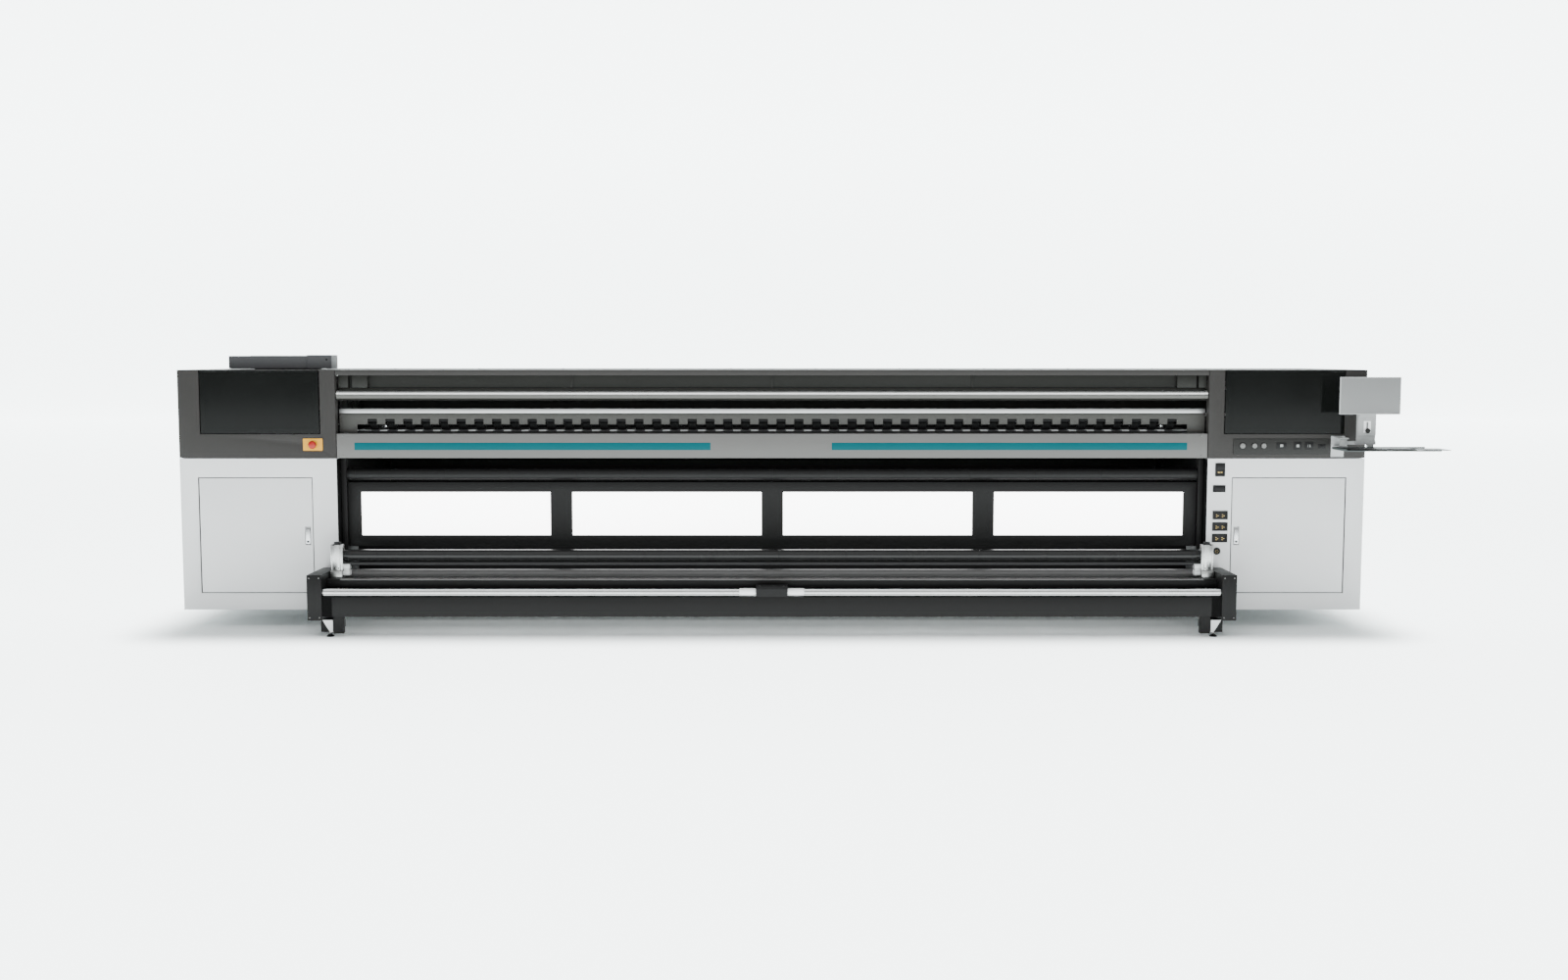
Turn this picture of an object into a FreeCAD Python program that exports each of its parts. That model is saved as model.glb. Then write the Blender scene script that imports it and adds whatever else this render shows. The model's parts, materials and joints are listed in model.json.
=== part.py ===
import FreeCAD, Part
import os
import Sketcher

os.makedirs("parts", exist_ok=True)
doc = FreeCAD.newDocument("roll_printer")
V = FreeCAD.Vector

# ---------------------------------------------------------------- sheet
# All sizes in millimetres.  X runs along the machine, Y from front to back,
# Z up from the floor.  The machine is drawn about its own middle and every
# sub-part is then carried by shift_along / shift_deep to the row origin.
sheet = doc.addObject("Spreadsheet::Sheet", "dims")
cells = [
    ("shift_along", -191.0), ("shift_deep", 157.5),
    # cabinets
    ("outer_half", 3590.0), ("inner_half", 2640.0),
    ("front_face", -600.0), ("back_face", 600.0),
    ("low_bottom", 110.0), ("low_top", 1034.0),
    ("head_bottom", 1038.0), ("head_top", 1570.0),
    ("sheet_wall", 3.0),
    # doors
    ("door_inner", 2793.0), ("door_outer", 3475.0),
    ("door_bottom", 217.0), ("door_top", 915.0),
    ("door_thick", 20.0), ("door_gap", 5.0),
    ("pin_radius", 4.0), ("pin_length", 24.0), ("pin_inset", 10.0),
    # window covers
    ("window_inner", 2739.0), ("window_outer", 3455.0),
    ("window_bottom", 1186.0), ("window_thick", 5.0),
    # frame
    ("plate_thick", 32.0), ("plate_top", 1176.0),
    # gantry
    ("beam_half", 3440.0), ("beam_front", 90.0), ("beam_deep", 200.0),
    ("beam_low", 1236.0), ("beam_high", 250.0), ("beam_wall", 8.0),
    ("rail_wide", 20.0), ("rail_high", 18.0),
    # print zone
    ("mid_half", 2604.0), ("skin_half", 2636.0),
    ("wheel_count", 46.0), ("wheel_pitch", 108.3), ("wheel_first", -2437.0),
    ("wheel_radius", 33.0), ("wheel_wide", 50.0), ("wheel_axis_y", -450.0), ("wheel_axis_z", 1236.0),
    ("drive_radius", 40.0), ("nip_gap", 0.5),
    ("platen_top", 1198.0), ("platen_thick", 48.0),
    # front
    ("panel_low", 1037.0), ("panel_high", 148.0),
    ("tube_radius", 29.0), ("tube_y", -560.0), ("tube_z", 1414.5),
    ("idler_radius", 36.0), ("idler_y", -500.0), ("idler_z", 931.0),
    ("box_low", 488.0), ("box_high", 395.0),
    ("window_pitch", 1294.0), ("window_long", 1161.0),
    # take-up
    ("end_inner", 2645.0), ("end_wide", 85.0), ("end_front", -960.0), ("end_back", -620.0),
    ("end_low", 103.0), ("end_high", 269.0),
    ("tension_radius", 34.0), ("tension_y", -750.0), ("tension_z", 465.0),
    ("wind_radius", 24.0), ("wind_y", -700.0), ("wind_z", 353.0),
    ("shaft_radius", 23.5), ("shaft_y", -925.0), ("shaft_z", 267.0),
    # carriage
    ("car_left", -3333.0), ("car_long", 669.0), ("car_front", -390.0), ("car_back", 60.0),
    ("hood_low", 1576.0), ("hood_high", 84.0),
    ("pulley_radius", 40.0),
    # rear feed
    ("feed_radius", 38.0), ("feed_y", 600.0), ("feed_z", 420.0),
]
for i, (name, value) in enumerate(cells):
    sheet.set("A%d" % (i + 1), name)
    sheet.set("B%d" % (i + 1), str(value))
    sheet.setAlias("B%d" % (i + 1), name)
doc.recompute()
D = dict(cells)

nodes = {}
serial = [0]


def uid(stem):
    serial[0] += 1
    return "%s_%03d" % (stem, serial[0])


def ex(text):
    """Turn '@name' words into sheet references."""
    if isinstance(text, (int, float)):
        return repr(float(text))
    return text.replace("@", "dims.")


def val(text):
    if isinstance(text, (int, float)):
        return float(text)
    out = text
    for key in sorted(D, key=len, reverse=True):
        out = out.replace("@" + key, "(%r)" % D[key])
    quantity = FreeCAD.Units.Quantity(out)
    return quantity.Value


def place(obj, x, y, z):
    for axis, item in (("x", x), ("y", y), ("z", z)):
        obj.setExpression("Placement.Base." + axis, ex(item))


def box(x, y, z, lx, ly, lz):
    b = doc.addObject("Part::Box", uid("block"))
    b.setExpression("Length", ex(lx))
    b.setExpression("Width", ex(ly))
    b.setExpression("Height", ex(lz))
    place(b, x, y, z)
    return b


TURN = {"Z": (V(0, 0, 1), 0), "X": (V(0, 1, 0), 90), "Y": (V(1, 0, 0), -90)}


def cyl(axis, x, y, z, radius, length):
    """Cylinder starting at x, y, z and running along +axis."""
    c = doc.addObject("Part::Cylinder", uid("round"))
    c.setExpression("Radius", ex(radius))
    c.setExpression("Height", ex(length))
    v, a = TURN[axis]
    c.Placement = FreeCAD.Placement(V(0, 0, 0), FreeCAD.Rotation(v, a))
    place(c, x, y, z)
    return c


def cone(axis, x, y, z, r1, r2, length):
    c = doc.addObject("Part::Cone", uid("taper"))
    c.setExpression("Radius1", ex(r1))
    c.setExpression("Radius2", ex(r2))
    c.setExpression("Height", ex(length))
    v, a = TURN[axis]
    c.Placement = FreeCAD.Placement(V(0, 0, 0), FreeCAD.Rotation(v, a))
    place(c, x, y, z)
    return c


def fuse(*items):
    if len(items) == 1:
        return items[0]
    f = doc.addObject("Part::MultiFuse", uid("joined"))
    f.Shapes = list(items)
    f.Refine = True
    return f


def cut(base, *tools):
    c = doc.addObject("Part::Cut", uid("cut"))
    c.Base = base
    c.Tool = fuse(*tools)
    c.Refine = True
    return c


def group(*items):
    if len(items) == 1:
        return items[0]
    g = doc.addObject("Part::Compound", uid("group"))
    g.Links = list(items)
    return g


def node(label, obj):
    """Name a sub-part.  The carrier holds the shift to the row origin."""
    top = doc.addObject("Part::Compound", uid("part"))
    top.Links = [obj]
    top.Label = label
    top.setExpression("Placement.Base.x", "dims.shift_along")
    top.setExpression("Placement.Base.y", "dims.shift_deep")
    nodes[label] = top
    return top


def plane_of(body, role):
    for item in body.Origin.OriginFeatures:
        if item.Role == role:
            return item
    raise RuntimeError(role)


def body_with_sketch(role, offset_z=None):
    b = doc.addObject("PartDesign::Body", uid("body"))
    s = b.newObject("Sketcher::SketchObject", uid("sketch"))
    s.AttachmentSupport = [(plane_of(b, role), "")]
    s.MapMode = "FlatFace"
    return b, s


def rect(s, x0, z0, x1, z1):
    """Closed rectangle, its corners bound to the sheet."""
    n = s.GeometryCount
    a0, b0, a1, b1 = val(x0), val(z0), val(x1), val(z1)
    pts = [(a0, b0), (a1, b0), (a1, b1), (a0, b1)]
    for i in range(4):
        p, q = pts[i], pts[(i + 1) % 4]
        s.addGeometry(Part.LineSegment(V(p[0], p[1], 0), V(q[0], q[1], 0)), False)
    for i in range(4):
        s.addConstraint(Sketcher.Constraint("Coincident", n + i, 2, n + (i + 1) % 4, 1))
    s.addConstraint(Sketcher.Constraint("Horizontal", n))
    s.addConstraint(Sketcher.Constraint("Horizontal", n + 2))
    s.addConstraint(Sketcher.Constraint("Vertical", n + 1))
    s.addConstraint(Sketcher.Constraint("Vertical", n + 3))
    for kind, geo, point, item in (("DistanceX", n, 1, x0), ("DistanceY", n, 1, z0),
                                   ("DistanceX", n + 1, 2, x1), ("DistanceY", n + 1, 2, z1)):
        k = s.addConstraint(Sketcher.Constraint(kind, -1, 1, geo, point, val(item)))
        s.setExpression("Constraints[%d]" % k, ex(item))


def circle(s, x, y, radius):
    k = s.addGeometry(Part.Circle(V(val(x), val(y), 0), V(0, 0, 1), val(radius)), False)
    for kind, item in (("DistanceX", x), ("DistanceY", y)):
        c = s.addConstraint(Sketcher.Constraint(kind, -1, 1, k, 3, val(item)))
        s.setExpression("Constraints[%d]" % c, ex(item))
    c = s.addConstraint(Sketcher.Constraint("Radius", k, val(radius)))
    s.setExpression("Constraints[%d]" % c, ex(radius))


def pad(b, s, length, both=False):
    p = b.newObject("PartDesign::Pad", uid("pad"))
    p.Profile = s
    p.setExpression("Length", ex(length))
    if both:
        p.Midplane = True
    b.Tip = p
    return p


# ------------------------------------------------------------ lower cabinets
def lower_cabinet(label, sign):
    """Sheet-metal cabinet: open bottom frame, door opening in the front."""
    left = "-@outer_half" if sign < 0 else "@inner_half"
    b, s = body_with_sketch("XZ_Plane")
    x0, x1 = (left, "-@inner_half") if sign < 0 else (left, "@outer_half")
    rect(s, x0, "@low_bottom", x1, "@low_top")
    pad(b, s, "@back_face-@front_face", both=True)
    inner = box(left + "+@sheet_wall", "@front_face+@sheet_wall", "@low_bottom+@sheet_wall",
                "@outer_half-@inner_half-2*@sheet_wall", "@back_face-@front_face-2*@sheet_wall",
                "@low_top-@low_bottom-2*@sheet_wall")
    d0 = "-@door_outer-@door_gap-2" if sign < 0 else "@door_inner-@door_gap"
    hole = box(d0, "@front_face-10", "@door_bottom-@door_gap",
               "@door_outer-@door_inner+2*@door_gap+2", 40, "@door_top-@door_bottom+2*@door_gap")
    # stop frame behind the door edge, with the seats of the pivot pins
    p = "-@door_outer-@door_gap-2" if sign < 0 else "@door_outer-40"
    low = box("-@door_outer-30" if sign < 0 else "@door_inner-30", "@front_face+@sheet_wall", "@door_bottom-@door_gap-25",
              "@door_outer-@door_inner+60", 27, 25)
    high = box("-@door_outer-30" if sign < 0 else "@door_inner-30", "@front_face+@sheet_wall", "@door_top+@door_gap",
               "@door_outer-@door_inner+60", 27, 25)
    px = "-@door_outer+@pin_inset" if sign < 0 else "@door_outer-@pin_inset"
    bore = cyl("Z", px, "@front_face+@pin_inset", "@door_bottom-60", "@pin_radius", "@door_top-@door_bottom+120")
    return node(label, cut(fuse(cut(b, inner, hole), low, high), bore))


lower_cabinet("left_lower_cabinet", -1)
lower_cabinet("right_lower_cabinet", 1)


def door(label, sign):
    x0 = "-@door_outer" if sign < 0 else "@door_inner"
    x1 = "-@door_inner" if sign < 0 else "@door_outer"
    plate = box(x0, "@front_face", "@door_bottom", "@door_outer-@door_inner", "@door_thick", "@door_top-@door_bottom")
    px = "-@door_outer+@pin_inset" if sign < 0 else "@door_outer-@pin_inset"
    low = cyl("Z", px, "@front_face+@pin_inset", "@door_bottom-1", "@pin_radius+0.05", "@pin_length")
    high = cyl("Z", px, "@front_face+@pin_inset", "@door_top-@pin_length+1", "@pin_radius+0.05", "@pin_length")
    # recess for the latch
    lx = -2840.0 if sign < 0 else 2806.0
    slot = box(lx, "@front_face-1", 508, 34, 17.5, 112)
    node(label, cut(plate, low, high, slot))


door("left_door", -1)
door("right_door", 1)
pins = []
for sign in (-1, 1):
    px = "-@door_outer+@pin_inset" if sign < 0 else "@door_outer-@pin_inset"
    pins.append(cyl("Z", px, "@front_face+@pin_inset", "@door_bottom-@door_gap-20", "@pin_radius", "@pin_length+15"))
    pins.append(cyl("Z", px, "@front_face+@pin_inset", "@door_top-10", "@pin_radius", "@pin_length+10"))
node("door_pivot_pins", group(*pins))

for label, lx in (("left_latch", -2836.5), ("right_latch", 2809.5)):
    paddle = box(lx, "@front_face-2", 514, 27, 8, 96)
    bar = cyl("X", lx, "@front_face+5", 602, 4.5, 27)
    node(label, fuse(paddle, bar))


# ------------------------------------------------------------ head shells
def head(label, sign):
    x0 = "-@outer_half" if sign < 0 else "@inner_half"
    w = "@outer_half-@inner_half"
    t = "@sheet_wall"
    fy, fz = "@front_face", "@head_bottom"
    hz = "@head_top-@head_bottom"
    wx = "-@window_outer" if sign < 0 else "@window_inner-6"
    front = cut(box(x0, fy, fz, w, t, hz),
                box(wx + ("-6" if sign < 0 else ""), "@front_face-5", "@window_bottom-4", "@window_outer-@window_inner+12", 20, 400))
    outer = box("-@outer_half" if sign < 0 else "@outer_half-@sheet_wall", fy, fz, t, "@back_face-@front_face", hz)
    back = box(x0, "@back_face-@sheet_wall", fz, w, t, hz)
    floor_ = cut(box(x0, fy, fz, w, "@back_face-@front_face", t),
                 box(x0 + "+120", "@front_face+150", "@head_bottom-5", w + "-240", 600, 20))
    col = box("-@inner_half-@sheet_wall-88" if sign < 0 else "@inner_half", fy, fz, 91, 60, hz)
    rear_in = box("-@inner_half-@sheet_wall" if sign < 0 else "@inner_half", 340, fz, t, "@back_face-340", hz)
    rim = box(x0, fy, "@head_top-@sheet_wall", w, 40, t)
    top_f = cut(box(x0, "@front_face", "@head_top-@sheet_wall", w, 540, t),
                box(wx + ("-6" if sign < 0 else ""), "@front_face-5", "@head_top-10", "@window_outer-@window_inner+12", 11, 20))
    top_b = box(x0, 74, "@head_top-@sheet_wall", w, "@back_face-74", t)
    shell = fuse(front, outer, back, floor_, col, rear_in, top_f, top_b)
    if sign < 0:
        holes = [cyl("Y", -2779, -610, 1118, 13, 30)]
    else:
        holes = [cyl("Y", 2918.0, -610, 1112, 11, 30), cyl("Y", 2974.0, -610, 1112, 11, 30)]
    return node(label, cut(shell, *holes))


head("left_head_shell", -1)
head("right_head_shell", 1)
for label, sign in (("left_window", -1), ("right_window", 1)):
    x0 = "-@window_outer" if sign < 0 else "@window_inner"
    pane = box(x0, "@front_face", "@window_bottom", "@window_outer-@window_inner", "@window_thick", "@head_top-@window_bottom-14")
    bead = cyl("X", x0, "@front_face+2.5", "@head_top-8", 4, "@window_outer-@window_inner")
    node(label, fuse(pane, bead))

# ------------------------------------------------------------ base frame
parts_ = []
for sign in (-1, 1):
    x = "-@mid_half-@plate_thick+1" if sign < 0 else "@mid_half-1"
    plate = cut(box(x, -520, 160, "@plate_thick", 1080, "@plate_top-160"),
                cyl("X", x + "-5", "@idler_y", "@idler_z", 12.05, "@plate_thick+10"),
                cyl("X", x + "-5", "@wheel_axis_y", "@wheel_axis_z-@wheel_radius-@drive_radius-@nip_gap", 20.05, "@plate_thick+10"))
    parts_.append(plate)
    # seat under the beam
    parts_.append(box(x, 60, "@plate_top", "@plate_thick", 260, "@beam_low-@plate_top"))
    # rear arm that carries the feed shaft
    arm = cut(box(x, 540, 360, "@plate_thick", 130, 120), cyl("X", x + "-5", "@feed_y", "@feed_z", 15.05, "@plate_thick+10"))
    parts_.append(cut(arm, box(x + "-5", 500, 300, "@plate_thick+10", 60, 220)))
    # pads that stand on the floor feet
    parts_.append(box(x, -400, 110, "@plate_thick", 900, 50))
frame_solids = [fuse(*parts_[0:4]), fuse(*parts_[4:8])]
frame_solids.append(box("-@mid_half+1", -380, 190, "2*@mid_half-2", 80, 120))
frame_solids.append(box("-@mid_half+1", 300, 190, "2*@mid_half-2", 100, 160))
frame_solids.append(box("-@mid_half+1", 380, 960, "2*@mid_half-2", 100, 120))
node("base_frame", cut(fuse(*frame_solids),
                       box("-@mid_half-60", -374, 196, "2*@mid_half+120", 68, 108),
                       box("-@mid_half-60", 306, 196, "2*@mid_half+120", 88, 148),
                       box("-@mid_half-60", 386, 966, "2*@mid_half+120", 88, 108)))

beam = cut(box("-@beam_half", "@beam_front", "@beam_low", "2*@beam_half", "@beam_deep", "@beam_high"),
           box("-@beam_half-5", "@beam_front+@beam_wall", "@beam_low+@beam_wall", "2*@beam_half+10",
               "@beam_deep-2*@beam_wall", "@beam_high-2*@beam_wall"),
           cyl("Y", -3380.0, 80, 1361, 12.05, 220), cyl("Y", 3380.0, 80, 1361, 12.05, 220))
node("gantry_beam", beam)
rail_low = box("-@beam_half+20", "@beam_front-@rail_high", "@beam_low+30", "2*@beam_half-40", "@rail_high", "@rail_wide")
rail_up = box("-@beam_half+20", "@beam_front-@rail_high", "@beam_low+200", "2*@beam_half-40", "@rail_high", "@rail_wide")
node("linear_rails", group(rail_low, rail_up))

# toothed belt: two flat runs joined round both pulleys
bb, bs = body_with_sketch("XZ_Plane")
px = 3380.0


def stadium(s, radius):
    n = s.GeometryCount
    r_, z_ = radius, 1361.0
    s.addGeometry(Part.LineSegment(V(-px, z_ + r_, 0), V(px, z_ + r_, 0)), False)
    s.addGeometry(Part.ArcOfCircle(Part.Circle(V(px, z_, 0), V(0, 0, 1), r_), -1.5707963267948966, 1.5707963267948966), False)
    s.addGeometry(Part.LineSegment(V(px, z_ - r_, 0), V(-px, z_ - r_, 0)), False)
    s.addGeometry(Part.ArcOfCircle(Part.Circle(V(-px, z_, 0), V(0, 0, 1), r_), 1.5707963267948966, 4.71238898038469), False)


stadium(bs, 43.4)
stadium(bs, 40.4)
pad(bb, bs, 20.0, both=True)
bb.Placement.Base = V(0, 74, 0)
node("drive_belt", bb)
for label, sign in (("belt_drive_pulley", 1), ("belt_idler_pulley", -1)):
    wheel = fuse(cyl("Y", sign * px, 63.5, 1361, "@pulley_radius", 21), cyl("Y", sign * px, 60, 1361, 12, 240))
    node(label, wheel)
node("carriage_motor", cut(fuse(box(3330, 290, 1311, 100, 120, 100), box(3345, 410, 1326, 70, 40, 70)),
                           cyl("Y", px, 285, 1361, 12.05, 20)))

# ------------------------------------------------------------ covers
front_cover = fuse(box("-@skin_half", "@front_face", "@head_top-33", "2*@skin_half", 4, 33),
                   box("-@skin_half", "@front_face", "@head_top-3", "2*@skin_half", 540, 3))
rear_cover = fuse(box("-@skin_half", 74, "@head_top-3", "2*@skin_half", "@back_face-74", 3),
                  box("-@skin_half", "@back_face-3", 520, "2*@skin_half", 3, "@head_top-520"))
node("top_covers", group(front_cover, rear_cover))
ribs = [box(xr - 5, -528, 1459, 10, 9, 82) for xr in (-1218.0, 0.0, 1218.0)]
ends = [box(-2630, -560, 1462, 60, 60, 76), box(-2545, -560, 1462, 92, 60, 76),
        box(2455, -560, 1462, 115, 60, 76), box(2585, -560, 1462, 48, 60, 76)]
shield = fuse(box("-@skin_half", -520, 1445, "2*@skin_half", 4, 121), box("-@skin_half", -545, 1443, "2*@skin_half", 29, 14), *(ribs + ends))
node("inner_shield", shield)
tube = cyl("X", "-@skin_half", "@tube_y", "@tube_z", "@tube_radius", "2*@skin_half")
edge = box("-@skin_half", -532, 1306, "2*@skin_half", 10, 27)
node("silver_rails", group(tube, edge))
# notched face plate hanging in front of the wheels, deeper beyond the last ones
face = fuse(box("-@skin_half", -525, 1238, "2*@skin_half", 3, 62),
            box("-@skin_half", -525, 1187, 108, 3, 60), box("@skin_half-108", -525, 1187, 108, 3, 60))
face = cut(face, *[box(D["wheel_first"] + i * D["wheel_pitch"] - D["wheel_wide"] / 2.0 - 3, -530, 1230, "@wheel_wide+6", 12, 41)
                   for i in range(int(D["wheel_count"]))])
node("pinch_beam", group(cut(box("-@skin_half", -522, 1276, "2*@skin_half", 60, 58),
                             box("-@skin_half-5", -516, 1282, "2*@skin_half+10", 48, 46)), face))
fb, fs = body_with_sketch("XZ_Plane")
rect(fs, "-@skin_half", "@panel_low", "@skin_half", "@panel_low+@panel_high")
pad(fb, fs, 8.0, both=True)
fb.Placement.Base = V(0, -594, 0)
node("front_panel", fuse(fb, box("-@skin_half", -590, "@panel_low+@panel_high-8", "2*@skin_half", 80, 8),
                         box("-@skin_half", -590, "@panel_low", "2*@skin_half", 60, 6)))
node("teal_stripes", group(box(-2528.6, -599.5, 1086, 2155.3, 1.5, 44), box(361.2, -599.5, 1086, 2151.1, 1.5, 44)))

# ------------------------------------------------------------ platen and rollers
nip_z = "@wheel_axis_z-@wheel_radius-@drive_radius-@nip_gap"
node("platen", cut(fuse(box("-@mid_half+2", -400, "@platen_top-@platen_thick", "2*@mid_half-4", 440, "@platen_thick"),
                        box("-@mid_half+2", -300, 1040, "2*@mid_half-4", 240, 112)),
                   box("-@mid_half-10", -290, 1046, "2*@mid_half+20", 220, 102),
                   box("-@mid_half-10", -392, "@platen_top-@platen_thick-1", "2*@mid_half+20", 84, "@platen_thick-11"),
                   box("-@mid_half-10", -52, "@platen_top-@platen_thick-1", "2*@mid_half+20", 84, "@platen_thick-11")))
node("drive_roller", fuse(cyl("X", "-@mid_half+6", "@wheel_axis_y", nip_z, "@drive_radius", "2*@mid_half-12"),
                          cyl("X", "-@mid_half-28", "@wheel_axis_y", nip_z, 20, "2*@mid_half+56")))
# stepped roller: rubber tyres on one tube
wb, ws = body_with_sketch("XY_Plane")
count = int(D["wheel_count"])
half = D["wheel_wide"] / 2.0
outline = [(-2520.0, 0.0), (-2520.0, 15.0)]
for i in range(count):
    xc = D["wheel_first"] + i * D["wheel_pitch"]
    outline += [(xc - half, 15.0), (xc - half, D["wheel_radius"] - 3), (xc - half + 3, D["wheel_radius"]),
                (xc + half - 3, D["wheel_radius"]), (xc + half, D["wheel_radius"] - 3), (xc + half, 15.0)]
outline += [(2520.0, 15.0), (2520.0, 0.0)]
for i in range(len(outline)):
    p, q = outline[i], outline[(i + 1) % len(outline)]
    ws.addGeometry(Part.LineSegment(V(p[0], p[1], 0), V(q[0], q[1], 0)), False)
rev = wb.newObject("PartDesign::Revolution", uid("turned"))
rev.Profile = ws
rev.ReferenceAxis = (ws, ["H_Axis"])
rev.Angle = 360.0
wb.Tip = rev
wb.setExpression("Placement.Base.y", "dims.wheel_axis_y")
wb.setExpression("Placement.Base.z", "dims.wheel_axis_z")
node("pinch_wheels", wb)
arms = [cyl("X", -2560, -510, 1262, 9, 5120)]
comb = []
for i in range(count + 1):
    xa = D["wheel_first"] + (i - 0.5) * D["wheel_pitch"]
    comb.append(cut(box(xa - 14, -505, 1222, 28, 75, 44), cyl("X", xa - 20, "@wheel_axis_y", "@wheel_axis_z", 15.4, 40),
                    box(xa - 20, "@wheel_axis_y-15.4", 1200, 40, 30.8, 36)))
comb.append(box(-2560, -505, 1254, 5120, 12, 12))
arm_node = fuse(*(arms + comb))
node("pinch_arms", arm_node)

node("front_idler_roller", fuse(cyl("X", "-@mid_half+6", "@idler_y", "@idler_z", "@idler_radius", "2*@mid_half-12"),
                                cyl("X", "-@mid_half-28", "@idler_y", "@idler_z", 12, "2*@mid_half+56")))
housing = box("-@mid_half+2", -500, "@box_low", "2*@mid_half-4", 90, "@box_high")
housing = cut(housing, box("-@mid_half+12", -488, "@box_low+10", "2*@mid_half-24", 68, "@box_high-20"),
              *[box((i - 1.5) * D["window_pitch"] - D["window_long"] / 2.0, -505, 556, "@window_long", 30, 266) for i in range(4)])
# apron below the lamps closes the gap down to the frame
housing = fuse(housing, box("-@mid_half+36", -413, 140, "2*@mid_half-72", 3, 360))
node("light_box_housing", housing)
node("light_diffusers", group(*[box((i - 1.5) * D["window_pitch"] - D["window_long"] / 2.0 - 15, -487.5, 533, "@window_long+30", 6, 307.6) for i in range(4)]))

# ------------------------------------------------------------ take-up unit
ends_ = []
for sign in (-1, 1):
    x = "-@end_inner-@end_wide" if sign < 0 else "@end_inner"
    shell = box(x, "@end_front", "@end_low", "@end_wide", "@end_back-@end_front", "@end_high")
    bx = "-@end_inner-30" if sign < 0 else "@end_inner-5"
    shell = cut(shell, box(x + "+4", "@end_front+4", "@end_low-5", "@end_wide-8", "@end_back-@end_front-8", "@end_high+1"))
    shell = cut(shell, cyl("X", bx, "@wind_y", "@wind_z-3", 12.05, 35), cyl("X", bx, "@shaft_y", "@shaft_z", 12.05, 35))
    ends_.append(shell)
node("takeup_end_boxes", group(*ends_))
beam_ = cut(box("-@end_inner", -955, 125, "2*@end_inner", 50, 116.5),
            box("-@end_inner+20", -950, 130, "2*@end_inner-40", 46, 106.5))
legs = []
for sign in (-1, 1):
    x = -2582.0 if sign < 0 else 2524.0
    legs.append(box(x, -945, 24, 58, 40, 101))
    legs.append(box(-2660.0 if sign < 0 else 2590.0, -930, 30, 70, 260, 73))
    legs.append(box(-2590.0 if sign < 0 else 2524.0, -930, 60, 66, 40, 40))
    # tie bar back to the base frame
    legs.append(box(-2600.0 if sign < 0 else 2572.0, -640, 150, 28, 260, 100))
    legs.append(box(-2612.0 if sign < 0 else 2572.0, -690, 150, 40, 60, 100))
profile = box("-@end_inner", -850, 281, "2*@end_inner", 60, 52)
node("takeup_frame", fuse(beam_, *(legs + [profile])))
posts = []
for sign in (-1, 1):
    cx = -2604.0 if sign < 0 else 2604.0
    post = fuse(box(cx - 36, -775, 372, 72, 50, 158), box(cx - 36, -790, 300, 72, 65, 80),
                box(-2568.0 if sign < 0 else 2526.0, -775, 344, 42, 44, 70), cyl("Z", cx, "@tension_y", 530, 20, 14))
    post = cut(post, cyl("X", cx - 40, "@tension_y", "@tension_z", 12.05, 80))
    posts.append(post)
bar_ = cyl("X", -2580, "@tension_y", 415, 12, 5160)
node("roller_posts", group(fuse(posts[0], posts[1], bar_)))
node("tension_roller", fuse(cyl("X", -2560, "@tension_y", "@tension_z", "@tension_radius", 5120),
                            cyl("X", -2630, "@tension_y", "@tension_z", 12, 5260)))
node("takeup_roller", fuse(cyl("X", "-@end_inner+4", "@wind_y", "@wind_z-3", "@wind_radius", "2*@end_inner-8"),
                           cyl("X", "-@end_inner-20", "@wind_y", "@wind_z-3", 12, "2*@end_inner+40")))
node("takeup_shaft", fuse(cyl("X", "-@end_inner+4", "@shaft_y", "@shaft_z", "@shaft_radius-1.5", "2*@end_inner-8"),
                          cyl("X", "-@end_inner-20", "@shaft_y", "@shaft_z", 12, "2*@end_inner+40")))
collars = []
for x in (-190.0, 96.0):
    collars.append(cut(cyl("X", x, "@shaft_y", "@shaft_z", "@shaft_radius", 94), cyl("X", x - 5, "@shaft_y", "@shaft_z", "@shaft_radius-1.5", 104)))
node("shaft_collars", group(*collars))
node("centre_bearing", cut(box(-93, -953, 241.5, 186, 56, 71), cyl("X", -100, "@shaft_y", "@shaft_z", "@shaft_radius-1.45", 200)))

feet = []


def foot(x, y, top):
    return fuse(cone("Z", x, y, 0, 24, 14, 12), cyl("Z", x, y, 10, 8, top - 10.0))


for x in (-2612.0, 2612.0):
    feet.append(foot(x, -905.0, 30.0))
for x in (-3440.0, -2760.0, 2760.0, 3440.0):
    for y in (160.0, 540.0):
        feet.append(foot(x, y, 110.0))
for x in (-2619.0, 2619.0):
    for y in (0.0, 460.0):
        feet.append(foot(x, y, 110.0))
node("levelling_feet", group(*feet))

# ------------------------------------------------------------ rear feed
node("feed_shaft", fuse(cyl("X", "-@mid_half+6", "@feed_y", "@feed_z", "@feed_radius", "2*@mid_half-12"),
                        cyl("X", "-@mid_half-28", "@feed_y", "@feed_z", 15, "2*@mid_half+56")))

# ------------------------------------------------------------ carriage
plate = box("@car_left", "@car_back-6", 1215, "@car_long", 6, 345)
tray = cut(box("@car_left", "@car_front", 1230, "@car_long", "@car_back-@car_front", 10),
           *[box("@car_left+150+%d" % (i * 95), -330, 1220, 74, 300, 40) for i in range(4)])
side_l = box("@car_left", "@car_front", 1230, 6, "@car_back-@car_front", 300)
side_r = box("@car_left+@car_long-6", "@car_front", 1230, 6, "@car_back-@car_front", 300)
neck = box("@car_left+30", -50, 1520, "@car_long-240", 110, 56)
blocks = []
for dx in (60.0, 540.0):
    for z in (1246.0, 1416.0):
        b0 = box("@car_left+%r" % dx, 60, z, 70, 26, 60)
        blocks.append(cut(b0, box("@car_left+%r" % (dx - 5), 71.5, z + 19.5, 80, 20, 21)))
roof = box("@car_left", "@car_front", 1520, "@car_long", "@car_back-@car_front", 10)
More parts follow.
